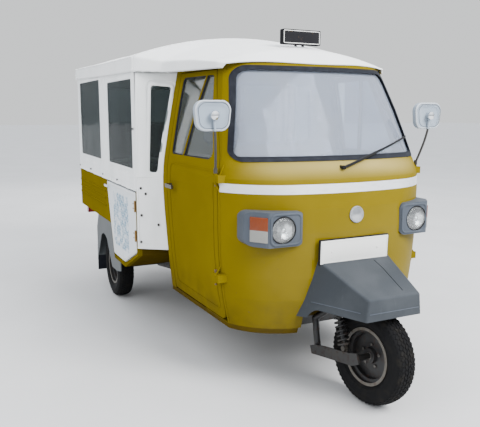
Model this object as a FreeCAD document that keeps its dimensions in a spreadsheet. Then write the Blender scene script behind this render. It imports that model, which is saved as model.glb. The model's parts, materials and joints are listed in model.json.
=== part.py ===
import FreeCAD, Part
import math
import os

import Sketcher
from FreeCAD import Placement, Rotation, Vector

# An auto rickshaw: a three-wheeled van with a two-door cab, a low bed and a canvas canopy over both.
# Millimetres. The front is at -Y, the vehicle's left side is +X, and the ground is Z = 0.
# Distances named "behind" run towards +Y from the centre of the front wheel.

doc = FreeCAD.newDocument("AutoRickshaw")
sheet = doc.addObject("Spreadsheet::Sheet", "Size")

SIZES = [
    # alias, value, meaning
    ("front_axle_y", -1385, "front wheel centre along Y"),
    ("wheelbase", 2170, "front to rear wheel centres"),
    ("track", 1272, "between the rear wheels' middles"),
    ("tyre_radius", 228, "tyre radius"),
    ("tyre_width", 114, "tyre section width"),
    ("rim_radius", 126, "bead seat radius"),
    ("rim_width", 90, "rim width"),
    ("rake", 22, "steering column's lean, degrees"),
    ("steer_rest", 7.5, "angle at which the front wheel was left"),
    ("pivot_offset", 55, "steering axis behind the wheel centre"),
    ("column_length", 800, "steering axis origin to the handlebar"),
    ("cab_half_width", 612, "widest half of the cab"),
    ("cab_bottom", 300, "underside of the cab walls"),
    ("cab_top", 1592, "top of the cab walls"),
    ("nose_behind", 150, "foremost point of the nose"),
    ("cab_rear_behind", 1180, "outside of the cab's rear wall"),
    ("cab_wall", 28, "cab wall and door thickness"),
    ("belt_height", 1118, "lower edge of the cab windows"),
    ("door_front_behind", 440, "front seam of the cab door"),
    ("door_rear_behind", 1112, "rear seam of the cab door"),
    ("door_bottom", 334, "lower edge of the cab door"),
    ("door_gap", 6, "gap round every door"),
    ("glass", 5, "glass thickness"),
    ("bed_front_behind", 1312, "front of the bed"),
    ("bed_length", 1673, "bed length to the tailgate"),
    ("bed_half_width", 735, "half of the bed's width"),
    ("bed_wall", 28, "bed side thickness"),
    ("bed_floor", 604, "top of the bed floor"),
    ("bed_rail", 880, "top of the bed sides"),
    ("bed_sheet", 20, "bed floor thickness"),
    ("well_floor", 372, "top of the footwell"),
    ("tailgate_wall", 24, "tailgate thickness"),
    ("side_door_wall", 18, "passenger door board thickness"),
    ("side_door_length", 735, "passenger door length at its top"),
    ("canopy_half_width", 745, "half of the canopy's width"),
    ("canopy_sheet", 6, "roof cloth thickness"),
    ("curtain", 4, "side cloth thickness"),
    ("canopy_hem", 886, "lower edge of the side cloth"),
    ("crown", 1795, "top of the roof cloth"),
    ("post", 26, "canopy frame tube"),
    ("seat_gap", 0.3, "gap between a piece and its seat"),
    ("running_gap", 0.05, "gap between a shaft and its bore"),
    ("hub_bore", 14, "wheel hub bore radius"),
    ("leg_radius", 17, "front fork tube radius"),
    ("head_radius", 33, "steering head outside radius"),
    ("hinge_pin", 7, "hinge pin radius"),
    ("guard_sheet", 4, "front mudguard thickness"),
    ("lamp_across", 383, "headlamp middle from the centre line"),
    ("lamp_height", 824, "headlamp middle above the ground"),
    ("lamp_radius", 64, "headlamp lens radius"),
    ("mirror_across", 631, "mirror middle from the centre line"),
    ("mirror_height", 1333, "mirror middle above the ground"),
    ("fender_sheet", 6, "rear fender thickness"),
    ("engine_half", 190, "half of the engine's width"),
    ("engine_top", 550, "top of the engine"),
    ("rail_width", 60, "chassis rail width"),
    ("rail_height", 60, "chassis rail height"),
    ("rail_spacing", 560, "between the chassis rails' middles"),
]

for row, (alias, value, meaning) in enumerate(SIZES, 1):
    sheet.set(f"A{row}", meaning)
    sheet.set(f"B{row}", str(value))
    sheet.setAlias(f"B{row}", alias)
doc.recompute()


class Dim:
    """A size with the sheet formula that gives it, so that it can be both used and bound."""

    def __init__(self, value, text):
        self.value = float(value)
        self.text = text

    def __float__(self):
        return self.value

    def joined(self, sign, other, value):
        return Dim(value, f"({self.text} {sign} {dim(other).text})")

    def __add__(self, other):
        return self.joined("+", other, self.value + float(other))

    def __sub__(self, other):
        return self.joined("-", other, self.value - float(other))

    def __mul__(self, other):
        return self.joined("*", other, self.value * float(other))

    def __truediv__(self, other):
        return self.joined("/", other, self.value / float(other))

    def __radd__(self, other):
        return dim(other) + self

    def __rsub__(self, other):
        return dim(other) - self

    def __rmul__(self, other):
        return dim(other) * self

    def __neg__(self):
        return dim(0) - self


def dim(number):
    """Returns a Dim for a plain number, and a Dim as it is."""
    return number if isinstance(number, Dim) else Dim(number, f"{float(number):.6f}")


class Sizes:
    """Gives each alias of the sheet as a Dim."""

    def __getattr__(self, alias):
        return Dim(sheet.get(alias), f"Size.{alias}")


s = Sizes()
made = {}


def bind(thing, prop, size):
    """Binds one property to a size's formula."""
    thing.setExpression(prop, dim(size).text)


def put(thing, x=0, y=0, z=0):
    """Places an object at three bound coordinates."""
    for letter, size in zip("xyz", (x, y, z)):
        bind(thing, f"Placement.Base.{letter}", size)
    return thing


def behind(distance):
    """A place along Y, counted from the front wheel centre."""
    return s.front_axle_y + distance


def keep(label, thing):
    """Names a finished sub-part; its label names its file."""
    thing.Label = label
    made[label] = thing
    return thing


def closed_outline(sketch, points):
    """Draws a closed outline of lines, and of arcs through points marked "via", with every point bound."""
    corners = [i for i, p in enumerate(points) if len(p) == 2]
    spot = [Vector(float(p[0]), float(p[1]), 0) for p in points]
    edges = []
    for n, i in enumerate(corners):
        j = corners[(n + 1) % len(corners)]
        between = (i + 1) % len(points)
        if between == j:
            edge = sketch.addGeometry(Part.LineSegment(spot[i], spot[j]))
        else:
            edge = sketch.addGeometry(Part.Arc(spot[i], spot[between], spot[j]))
            middle = sketch.addGeometry(Part.Point(spot[between]), True)
            fix(sketch, middle, 1, points[between])
            sketch.addConstraint(Sketcher.Constraint("PointOnObject", middle, 1, edge))
        edges.append((edge, spot[i]))
    for n, (edge, start) in enumerate(edges):
        before = edges[n - 1][0]
        here = nearest_end(sketch, edge, start)
        there = nearest_end(sketch, before, start)
        sketch.addConstraint(Sketcher.Constraint("Coincident", edge, here, before, there))
        fix(sketch, edge, here, points[corners[n]])


def nearest_end(sketch, edge, spot):
    """Says which end of an edge, 1 or 2, lies at a spot."""
    return min((1, 2), key=lambda end: (sketch.getPoint(edge, end) - spot).Length)


def fix(sketch, edge, end, point):
    """Binds a point's two coordinates in a sketch."""
    for kind, size in zip(("DistanceX", "DistanceY"), point):
        number = sketch.addConstraint(Sketcher.Constraint(kind, -1, 1, edge, end, float(size)))
        bind(sketch, f"Constraints[{number}]", size)


def drawn(body, plane, outlines, offset=0):
    """Adds a sketch of closed outlines on one of a body's own origin planes."""
    sketch = body.newObject("Sketcher::SketchObject", "Outline")
    support = [f for f in body.Origin.OriginFeatures if f.Role == f"{plane}_Plane"][0]
    sketch.AttachmentSupport = (support, [""])
    sketch.MapMode = "FlatFace"
    bind(sketch, "AttachmentOffset.Base.z", offset)
    for outline in outlines:
        closed_outline(sketch, outline)
    return sketch


def panel(name, plane, outline, start, thick, holes=(), rounds=()):
    """Pads an outline. YZ pads towards +X from X = start, XZ towards +Y, XY towards +Z.

    rounds lists (radius, [corner, ...]) for corners of the outline or holes.
    """
    body = doc.addObject("PartDesign::Body", name)
    flip = plane == "XZ"
    sketch = drawn(body, plane, [outline, *holes], -start if flip else start)
    pad = body.newObject("PartDesign::Pad", "Pad")
    pad.Profile = sketch
    pad.Reversed = flip
    bind(pad, "Length", thick)
    doc.recompute([sketch, pad, body])
    for radius, corners in rounds:
        before = body.Tip
        names = edges_at(before.Shape, plane, corners)
        fillet = body.newObject("PartDesign::Fillet", "Round")
        fillet.Base = (before, names)
        bind(fillet, "Radius", radius)
        doc.recompute([fillet, body])
    return body


def edges_at(shape, plane, corners):
    """Finds the edges that stand on a plane at the given corners."""
    first, second = plane
    found = []
    for number, edge in enumerate(shape.Edges, 1):
        ends = [v.Point for v in edge.Vertexes]
        if len(ends) != 2:
            continue
        for corner in corners:
            near = [
                abs(getattr(p, first.lower()) - float(corner[0])) < 0.01
                and abs(getattr(p, second.lower()) - float(corner[1])) < 0.01
                for p in ends
            ]
            if all(near):
                found.append(f"Edge{number}")
    return found


def turned(name, outline):
    """Revolves an outline, given as (along X, radius), about the X axis."""
    body = doc.addObject("PartDesign::Body", name)
    sketch = drawn(body, "XY", [outline])
    turn = body.newObject("PartDesign::Revolution", "Turn")
    turn.Profile = sketch
    turn.ReferenceAxis = (sketch, ["H_Axis"])
    turn.Angle = 360
    doc.recompute([sketch, turn, body])
    return body


def block(name, low, size):
    """A block from its low corner."""
    thing = doc.addObject("Part::Box", name)
    for prop, length in zip(("Length", "Width", "Height"), size):
        bind(thing, prop, length)
    return put(thing, *low)


def rod(name, start, length, radius, along="Z"):
    """A round bar along one axis."""
    thing = doc.addObject("Part::Cylinder", name)
    bind(thing, "Radius", radius)
    bind(thing, "Height", length)
    turn = {"Z": Rotation(), "X": Rotation(Vector(0, 1, 0), 90), "Y": Rotation(Vector(1, 0, 0), -90)}[along]
    thing.Placement = Placement(Vector(), turn)
    return put(thing, *start)


def link(name, start, end, radius):
    """A round bar between two points that lie askew."""
    a, b = (Vector(*(float(c) for c in p)) for p in (start, end))
    thing = doc.addObject("Part::Cylinder", name)
    bind(thing, "Radius", radius)
    thing.Height = (b - a).Length
    thing.Placement = Placement(a, Rotation(Vector(0, 0, 1), b - a))
    return thing


def bent(name, points, radius):
    """A round bar along a smooth curve through points."""
    curve = Part.BSplineCurve()
    curve.interpolate([Vector(*(float(c) for c in p)) for p in points])
    start = curve.FirstParameter
    ring = Part.Wire(Part.makeCircle(float(radius), curve.value(start), curve.tangent(start)[0]))
    return form(name, Part.Wire(curve.toShape()).makePipeShell([ring], True, False))


def fused(name, things):
    """Joins pieces into one."""
    thing = doc.addObject("Part::MultiFuse", name)
    thing.Shapes = things
    return thing


def less(name, base, tool):
    """Cuts a tool out of a base."""
    thing = doc.addObject("Part::Cut", name)
    thing.Base = base
    thing.Tool = tool
    return thing


def shared(name, first, second):
    """What two pieces have in common."""
    thing = doc.addObject("Part::MultiCommon", name)
    thing.Shapes = [first, second]
    return thing


def group(name, things):
    """Holds like pieces that don't touch, or one piece whose own place is bound."""
    thing = doc.addObject("Part::Compound", name)
    thing.Links = things
    return thing


def form(name, shape):
    """A form that only its own geometry describes, such as a lofted skin."""
    thing = doc.addObject("Part::Feature", name)
    thing.Shape = shape
    return thing


def sided(way, points):
    """An outline as it is, or mirrored across the first axis for the right side."""
    return points if way > 0 else [(-p[0], *p[1:]) for p in reversed(points)]


def faced(way, start, thick):
    """Where a pad along X starts, for a piece whose inner face is at `start` on the left or right side."""
    return start if way > 0 else -(start + thick)


SIDES = (("left", 1), ("right", -1))

# Cab skin

CAB_SECTIONS = [
    # height share, nose set-back, corner set-back, corner width share, rear width share
    (0.000, 62, -4, 0.869, 0.918),
    (0.134, 18, -4, 0.926, 0.949),
    (0.299, 0, -4, 0.959, 0.977),
    (0.472, 3, -4, 0.964, 1.000),
    (0.575, 38, 0, 0.964, 0.993),
    (0.650, 130, 14, 0.914, 0.971),
    (0.827, 248, 107, 0.850, 0.907),
    (1.000, 362, 208, 0.762, 0.835),
]
LEVELS_BETWEEN = 2
NOSE_CURVE = 1500
CORNER_TURN = math.radians(25)


def cab_section(share, nose_back, corner_back, corner_share, rear_share, inset):
    """One closed level of the cab: a wide nose arc, two tangent corner arcs, two sides and the rear."""
    height = float(s.cab_bottom + (s.cab_top - s.cab_bottom) * share)
    nose = float(behind(s.nose_behind + nose_back))
    corner = Vector(float(s.cab_half_width * corner_share), float(behind(s.door_front_behind + corner_back)), 0)
    rear = Vector(float(s.cab_half_width * rear_share), float(behind(s.cab_rear_behind)), 0)
    nose_middle = Vector(0, nose + NOSE_CURVE, 0)
    inward = Vector(-math.cos(CORNER_TURN), math.sin(CORNER_TURN), 0)
    reach = corner - nose_middle
    corner_radius = (NOSE_CURVE**2 - reach.dot(reach)) / (2 * (reach.dot(inward) + NOSE_CURVE))
    corner_middle = corner + inward * corner_radius
    away = (corner_middle - nose_middle).normalize()
    join = nose_middle + away * NOSE_CURVE
    half_way = (away - inward).normalize()
    on_corner = corner_middle + half_way * corner_radius
    other = lambda p: Vector(-p.x, p.y, p.z)
    edges = [
        Part.LineSegment(other(rear), rear),
        Part.LineSegment(rear, corner),
        Part.Arc(corner, on_corner, join),
        Part.Arc(join, Vector(0, nose, 0), other(join)),
        Part.Arc(other(join), other(on_corner), other(corner)),
        Part.LineSegment(other(corner), other(rear)),
    ]
    wire = Part.Wire([e.toShape() for e in edges])
    if inset:
        wire = wire.makeOffset2D(-inset, 2)
    wire.translate(Vector(0, 0, height))
    return wire


def eased(rows, steps):
    """Adds levels between the rows of a table on smooth curves through them."""
    slopes = []
    for i in range(len(rows)):
        low, high = rows[max(i - 1, 0)], rows[min(i + 1, len(rows) - 1)]
        slopes.append([(h - g) / (high[0] - low[0]) for g, h in zip(low, high)])
    levels = []
    for i in range(len(rows) - 1):
        span = rows[i + 1][0] - rows[i][0]
        for step in range(steps):
            u = step / steps
            weights = (2 * u**3 - 3 * u**2 + 1, 3 * u**2 - 2 * u**3, (u**3 - 2 * u**2 + u) * span, (u**3 - u**2) * span)
            ends = zip(rows[i], rows[i + 1], slopes[i], slopes[i + 1])
            levels.append(tuple(sum(w * v for w, v in zip(weights, column)) for column in ends))
    return levels + [rows[-1]]


def cab_solid(name, inset, longer=0.0):
    """The cab's whole form, drawn in by an inset; longer runs it on past both ends."""
    rows = eased(CAB_SECTIONS, LEVELS_BETWEEN)
    if longer:
        rows = [(-longer, *rows[0][1:]), *rows, (1 + longer, *rows[-1][1:])]
    return form(name, Part.makeLoft([cab_section(*row, float(inset)) for row in rows], True, True))


def nose_at(across, height):
    """Where the nose stands along Y, at a place across the cab and a height."""
    share = (float(height) - float(s.cab_bottom)) / float(s.cab_top - s.cab_bottom)
    rows = eased(CAB_SECTIONS, LEVELS_BETWEEN)
    low, high = next((a, b) for a, b in zip(rows, rows[1:]) if a[0] <= share <= b[0])
    set_back = low[1] + (high[1] - low[1]) * (share - low[0]) / (high[0] - low[0])
    return behind(s.nose_behind + set_back) + NOSE_CURVE - math.sqrt(NOSE_CURVE**2 - float(across) ** 2)


def rear_half(height):
    """Half of the cab's width at its rear, at a height."""
    share = (float(height) - float(s.cab_bottom)) / float(s.cab_top - s.cab_bottom)
    rows = eased(CAB_SECTIONS, LEVELS_BETWEEN)
    low, high = next((a, b) for a, b in zip(rows, rows[1:]) if a[0] <= share <= b[0])
    return s.cab_half_width * (low[4] + (high[4] - low[4]) * (share - low[0]) / (high[0] - low[0]))


past = 0.02
cab_outside = cab_solid("CabOutside", 0)
cab_clear = cab_solid("CabClear", -s.seat_gap)
cab_inside = cab_solid("CabInside", s.cab_wall, past)
cab_within = cab_solid("CabWithin", s.cab_wall + s.seat_gap, past)
cab_skin = less("CabSkin", cab_outside, cab_inside)
glass_skin = less("GlassSkin", cab_solid("GlassOutside", 10), cab_solid("GlassInside", 10 + s.glass, past))
seal_skin = less("SealSkin", cab_solid("SealOutside", -5), cab_solid("SealInside", 20, past))

# Cab openings. The door outline follows the corner's lean above the belt.

far = s.cab_half_width + 200
wide = far * 2
door_lean = 257


def door_outline(grow):
    """The door's side outline, drawn out by a margin."""
    front = behind(s.door_front_behind) - grow
    rear = behind(s.door_rear_behind) + grow
    return [
        (front, s.door_bottom - grow),
        (front, s.belt_height - 56),
        (front + door_lean, s.cab_top - 34 + grow),
        (rear, s.cab_top - 34 + grow),
        (rear, s.door_bottom - grow),
    ]


def window_outline(inset):
    """The door window's side outline."""
    low = s.belt_height + inset
    high = s.cab_top - 58 - inset
    front = behind(s.door_front_behind + 104) + inset
    rear = behind(s.door_rear_behind - 36) - inset
    return [(front, low), (front + 168, high), (rear, high), (rear, low)]


def screen_outline(inset):
    """The windscreen opening's front outline: wide below, narrower above."""
    low = s.belt_height + 4 + inset
    high = s.cab_top - 17 - inset
    below = s.cab_half_width * 0.898 - inset
    above = s.cab_half_width * 0.744 - inset
    return [(-below, low), (below, low), (above, high), (-above, high)]


def rear_window_outline(inset):
    """The cab rear window's outline."""
    half = s.cab_half_width * 0.6 - inset
    return [(-half, s.belt_height + 40 + inset), (half, s.belt_height + 40 + inset),
            (half, s.cab_top - 76 - inset), (-half, s.cab_top - 76 - inset)]


screen_depth = 640
screen_low_round = 44
screen_high_round = 88
seal_band = 22
door_zone = panel("DoorZone", "YZ", door_outline(s.door_gap), -far, wide)
screen_zone = panel("ScreenZone", "XZ", screen_outline(0), behind(0), screen_depth,
                    rounds=[(screen_low_round, screen_outline(0)[:2]), (screen_high_round, screen_outline(0)[2:])])
rear_zone = panel("RearZone", "XZ", rear_window_outline(0), behind(s.cab_rear_behind - 60), 120,
                  rounds=[(50, rear_window_outline(0))])
arch_half = 248
arch_zone = panel("ArchZone", "XZ",
                  [(-arch_half, s.cab_bottom - 10), (arch_half, s.cab_bottom - 10), (arch_half, 440),
                   (150, 625), (-150, 625), (-arch_half, 440)],
                  behind(0), 260)
floor_level = s.cab_bottom + 26
frame_rear = s.door_rear_behind + s.door_gap
waist = s.belt_height - 6

# The skin parts at its real seams: nose, windscreen frame, and rear wall with the door pillars.

nose_zone = panel("NoseZone", "YZ", [
    (behind(0), floor_level), (behind(700), floor_level), (behind(700), waist), (behind(0), waist),
], -far, wide)
upper_zone = panel("UpperZone", "YZ", [
    (behind(0), waist), (behind(frame_rear), waist), (behind(frame_rear), s.cab_top), (behind(0), s.cab_top),
], -far, wide)
wall_zone = panel("WallZone", "YZ", [
    (behind(frame_rear), floor_level), (behind(1400), floor_level), (behind(1400), s.cab_top),
    (behind(frame_rear), s.cab_top),
], -far, wide)
nose_cut = less("NoseCut", nose_zone, fused("NoseTools", [door_zone, arch_zone]))
upper_cut = less("UpperCut", upper_zone, fused("UpperTools", [door_zone, screen_zone]))
keep("cab_upper_frame", shared("CabUpperFrame", cab_skin, upper_cut))
keep("cab_rear_wall", shared("CabRearWall", cab_skin, less("WallCut", wall_zone, rear_zone)))

floor_zone = block("FloorZone", (-far, behind(0), s.cab_bottom), (wide, 1400, floor_level - s.cab_bottom))
well_half = arch_half + 14
well_rear = 432
floor_hole = block("FloorHole", (-well_half, behind(0), s.cab_bottom - 10),
                   (well_half * 2, well_rear + s.seat_gap, 60))
keep("cab_floor", less("CabFloor", shared("FloorPlate", cab_outside, floor_zone), floor_hole))

# Wheel well: the box over the front wheel, inside the nose.

well_top = 660
well_wall = 12
well_out = panel("WellOut", "YZ", [
    (behind(100), s.cab_bottom), (behind(100), well_top), (behind(330), well_top),
    (behind(well_rear), 520), (behind(well_rear), s.cab_bottom),
], -well_half, well_half * 2)
well_in = panel("WellIn", "YZ", [
    (behind(50), s.cab_bottom - 5), (behind(50), well_top - well_wall), (behind(324), well_top - well_wall),
    (behind(well_rear - well_wall), 515), (behind(well_rear - well_wall), s.cab_bottom - 5),
], -well_half + well_wall, (well_half - well_wall) * 2)
well_box = shared("WellBox", less("WellShell", well_out, well_in), cab_within)

# Steering. Its pieces are drawn straight, with the column upright at the origin, and then leaned and turned.

axis_y = behind(s.pivot_offset)
lean = Rotation(Vector(1, 0, 0), -float(s.rake))
steer_straight = Placement(Vector(0, float(axis_y), float(s.tyre_radius)), lean)
steer_rest = steer_straight.multiply(Placement(Vector(), Rotation(Vector(0, 0, 1), float(s.steer_rest))))
rake = math.radians(float(s.rake))
hub_v = -float(s.pivot_offset) * math.cos(rake)
hub_w = -float(s.pivot_offset) * math.sin(rake)


def steered(label, thing):
    """Leans and turns a steering piece to where it stands at rest."""
    thing.Placement = steer_rest.multiply(thing.Placement)
    return keep(label, thing)


head_low = 330
head_high = 560
head_wall = 7
column_radius = 22
head = less("Head", rod("HeadTube", (0, 0, head_low), head_high - head_low, s.head_radius),
            rod("HeadBore", (0, 0, head_low - 1), head_high - head_low + 2, s.head_radius - head_wall))
head.Placement = steer_straight
head_room = group("HeadRoom", [rod("HeadHole", (0, 0, head_low - 60), head_high - head_low + 120,
                                   s.head_radius + s.seat_gap)])
head_room.Placement = steer_straight
keep("wheel_well", less("WheelWell", well_box, head_room))
keep("steering_head", head)
nose_shell = less("NoseShell", shared("NoseSkin", cab_skin, nose_cut), head_room)

leg_x = -88
pivot = (leg_x, 230, 39)
leg_path = [(0, 0, head_low - 6), (0, 0, 250), (leg_x, 40, 236), (leg_x, 205, 190), pivot]
leg_parts = [link(f"Leg{i}", leg_path[i], leg_path[i + 1], s.leg_radius) for i in range(4)]
leg_balls = []
for i in range(1, 5):
    ball = doc.addObject("Part::Sphere", f"LegBend{i}")
    bind(ball, "Radius", s.leg_radius)
    ball.Placement.Base = Vector(*leg_path[i])
    leg_balls.append(ball)
steered("steering_column", fused("SteeringColumn", [
    rod("Column", (0, 0, head_low - 6), s.column_length - head_low + 6, column_radius),
    rod("ColumnNut", (0, 0, head_high + s.seat_gap), 24, s.head_radius),
]))

bar_z = s.column_length + 12
BAR_PATH = [(0, 0, bar_z), (120, 0, bar_z), (175, 78, bar_z), (285, 92, bar_z)]
bar_radius = 12
grip_radius = 17
bar_parts = [block("BarClamp", (-45, -30, s.column_length), (90, 60, 34))]
for side, way in SIDES:
    path = [(way * u, v, w) for u, v, w in BAR_PATH]
    bar_parts += [link(f"Bar{side}{i}", path[i], path[i + 1], bar_radius) for i in range(3)]
    bar_parts.append(link(f"Grip{side}", path[2], path[3], grip_radius))
    for i in (1, 2):
        bend = doc.addObject("Part::Sphere", f"BarBend{side}{i}")
        bend.Radius = bar_radius if i == 1 else grip_radius
        bend.Placement.Base = Vector(*(float(c) for c in path[i]))
        bar_parts.append(bend)
steered("handlebar", fused("Handlebar", bar_parts))

arm_plate = 12
arm_x = leg_x - s.leg_radius - s.seat_gap - arm_plate
arm = panel("Arm", "YZ", [
    (hub_v - 26, hub_w - 26), (hub_v + 20, hub_w - 30), (pivot[1] + 22, pivot[2] - 20),
    (pivot[1] + 22, pivot[2] + 20), (pivot[1] - 20, pivot[2] + 22), (hub_v + 20, hub_w + 28), (hub_v - 26, hub_w + 24),
], arm_x, arm_plate)
axle = rod("FrontAxle", (arm_x, hub_v, hub_w), -arm_x + 30, s.hub_bore - s.running_gap, "X")
steered("front_link", fused("FrontLink", [arm, axle]))

shock_x = leg_x - 14
shock_y = hub_v + 62
arm_top = hub_w + 28 + (shock_y - hub_v - 20) * (pivot[2] + 22 - hub_w - 28) / (pivot[1] - 20 - hub_v - 20)
eye_radius = 13
shock_low = arm_top + eye_radius + 1
shock_top = 214
coil_radius = 25
coil_wire = 4.5
coil_pitch = 21
damper = fused("DamperBody", [
    rod("Damper", (shock_x, shock_y, shock_low), shock_top - s.seat_gap - shock_low, 11),
    rod("DamperEye", (arm_x, shock_y, shock_low), arm_plate * 2, eye_radius, "X"),
    rod("CapLow", (shock_x, shock_y, shock_low + 16), 8, 31),
    rod("CapHigh", (shock_x, shock_y, shock_top - 14), 8, 31),
])
coil_low = shock_low + 24 + coil_wire + s.seat_gap
coil_high = shock_top - 14 - coil_wire - s.seat_gap


def coil(name, x, y, low, high, radius, wire, pitch):
    """An upright coil spring between two heights."""
    path = doc.addObject("Part::Helix", f"{name}Path")
    bind(path, "Radius", radius)
    bind(path, "Height", high - low)
    path.Pitch = pitch
    ring = doc.addObject("Part::Circle", f"{name}Wire")
    bind(ring, "Radius", wire)
    ring.Placement = Placement(Vector(float(radius), 0, 0), Rotation(Vector(1, 0, 0), 90))
    swept = doc.addObject("Part::Sweep", name)
    swept.Sections = [ring]
    swept.Spine = (path, ["Edge1"])
    swept.Solid = True
    swept.Frenet = True
    return put(swept, x, y, low)


front_coil = coil("FrontCoil", shock_x, shock_y, coil_low, coil_high, coil_radius, coil_wire, coil_pitch)
steered("front_damper", group("FrontDamper", [damper, front_coil]))
shock_bracket = block("DamperBracket", (shock_x - 16, shock_y - 16, shock_top), (40, 60, 22))
steered("front_fork", fused("FrontFork", leg_parts + leg_balls + [shock_bracket]))


# Wheels

rim_lip = 10
rim_flange = 4


def tyre_outline():
    """Half section of a tyre, from bead to bead over the tread."""
    half = s.tyre_width / 2
    bead = s.rim_width / 2 - rim_flange - s.seat_gap
    shoulder = s.tyre_radius - 7
    tread = s.tyre_width * 0.37
    side = (s.tyre_radius + s.rim_radius) / 2 + 4
    lip = s.rim_radius + rim_lip + 1
    return [
        (-bead, s.rim_radius), (-bead, lip), (-half, side, "via"), (-tread, shoulder),
        (0, s.tyre_radius, "via"), (tread, shoulder), (half, side, "via"), (bead, lip), (bead, s.rim_radius),
    ]


def rim_outline():
    """Half section of a pressed rim with its disc and hub."""
    edge = s.rim_width / 2
    lip = s.rim_radius + rim_lip
    seat = s.rim_radius - s.seat_gap
    return [
        (-edge, lip), (-edge + 3, lip), (-edge + rim_flange, seat), (-24, seat), (-20, seat - 14), (20, seat - 14),
        (24, seat), (edge - rim_flange, seat), (edge - 3, lip), (edge, lip), (edge - 0.5, seat - 4), (26, seat - 4),
        (22, seat - 18), (8, seat - 18), (2, 70), (2, 34), (22, 30), (22, s.hub_bore), (-22, s.hub_bore), (-22, 34), (-5, 38),
        (-5, 72), (-2, seat - 18), (-22, seat - 18), (-26, seat - 4), (-edge + 0.5, seat - 4),
    ]


def wheel(label, placement):
    """A tyre on its rim."""
    for kind, outline in (("tyre", tyre_outline()), ("rim", rim_outline())):
        thing = turned(f"{label}_{kind}".title().replace("_", ""), outline)
        thing.Placement = placement
        keep(f"{label}_{kind}", thing)


front_hub = steer_rest.multiply(Placement(Vector(0, hub_v, hub_w), Rotation(lean).inverted()))
wheel("front", front_hub)
rear_axle_y = behind(s.wheelbase)
for side, way in SIDES:
    turn = Rotation(Vector(0, 0, 1), 0 if way > 0 else 180)
    middle = Vector(float(s.track / 2) * way, float(rear_axle_y), float(s.tyre_radius))
    wheel(f"rear_{side}", Placement(middle, turn))

# Cab doors. They hang on pins that stand outside the skin, just ahead of the seam.

hinge_x = s.cab_half_width - 11
hinge_y = behind(s.door_front_behind - 3)
hinge_levels = (562, 1040)
leaf_high = 36
leaf_in = 60
leaf_out = 4
pin_reach = 26


def window_bar(grow):
    """The bar that parts the front corner of a door's window from the rest."""
    low = (914, s.belt_height - 10)
    high = (790, s.cab_top - 50)
    half = 7 + grow
    return [(behind(low[0] - half), low[1]), (behind(low[0] + half), low[1]),
            (behind(high[0] + half), high[1]), (behind(high[0] - half), high[1])]


def door_border(inset):
    """The pressed line round a door's lower panel."""
    return [
        (behind(s.door_front_behind + inset), s.door_bottom + inset),
        (behind(s.door_front_behind + inset), s.belt_height - inset),
        (behind(s.door_rear_behind - inset), s.belt_height - inset),
        (behind(s.door_rear_behind - inset), s.door_bottom + inset),
    ]


ridge_skin = less("RidgeSkin", cab_solid("RidgeOutside", -2.5), cab_solid("RidgeInside", 4, past))
nose_hinges = []
for side, way in SIDES:
    for n, level in enumerate(hinge_levels):
        low = (faced(way, hinge_x - leaf_in, leaf_in + leaf_out), hinge_y - leaf_high, level - leaf_high / 2)
        leaf = block(f"NoseLeaf{side}{n}", low, (leaf_in + leaf_out, leaf_high, leaf_high))
        pin = rod(f"Pin{side}{n}", (way * hinge_x, hinge_y, level - pin_reach), pin_reach * 2, s.hinge_pin)
        nose_hinges += [less(f"NoseLeafCut{side}{n}", leaf, cab_inside), pin]
keep("cab_nose", fused("CabNose", [nose_shell, *nose_hinges]))

for side, way in SIDES:
    across = 0 if way > 0 else -far
    zone = panel(f"DoorSolid{side}", "YZ", door_outline(0), across, far,
                 rounds=[(60, door_outline(0)[:1]), (30, door_outline(0)[4:])])
    hole = panel(f"DoorWindow{side}", "YZ", window_outline(0), across, far,
                 rounds=[(40, [window_outline(0)[0]]), (24, window_outline(0)[1:])])
    bar = panel(f"WindowBar{side}", "YZ", window_bar(0), across, far)
    panes = less(f"DoorPanes{side}", hole, bar)
    border = panel(f"DoorBorder{side}", "YZ", door_border(44), across, far, holes=[door_border(51)],
                   rounds=[(40, door_border(44)), (33, door_border(51))])
    skin = shared(f"DoorSkin{side}", cab_skin, less(f"DoorFrame{side}", zone, panes))
    ridge = shared(f"DoorRidge{side}", ridge_skin, border)
    leaves = []
    for n, level in enumerate(hinge_levels):
        low = (faced(way, hinge_x - leaf_in, leaf_in + leaf_out), hinge_y, level - leaf_high / 2)
        leaf = block(f"DoorLeaf{side}{n}", low, (leaf_in + leaf_out, leaf_high + 4, leaf_high))
        room = rod(f"PinRoom{side}{n}", (way * hinge_x, hinge_y, level - pin_reach - 4), pin_reach * 2 + 8,
                   s.hinge_pin + s.seat_gap)
        leaves.append(less(f"DoorLeafSeated{side}{n}", less(f"DoorLeafCut{side}{n}", leaf, cab_inside), room))
    keep(f"cab_door_{side}", fused(f"CabDoor{side}", [skin, ridge, *leaves]))
    keep(f"cab_door_{side}_glass", shared(f"CabDoorGlass{side}", glass_skin, panes))

# Door handles: a lever on a short boss near the rear edge.

handle_height = 944
handle_behind = s.door_rear_behind - 66
lever_x = s.cab_half_width + 18
for side, way in SIDES:
    boss = rod(f"HandleBoss{side}", (faced(way, lever_x - 50, 56), behind(handle_behind), handle_height), 56, 12, "X")
    lever = block(f"HandleLever{side}", (faced(way, lever_x, 12), behind(handle_behind - 92), handle_height - 10),
                  (12, 106, 20))
    keep(f"door_handle_{side}", fused(f"DoorHandle{side}", [less(f"HandleSeat{side}", boss, cab_clear), lever]))

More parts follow.
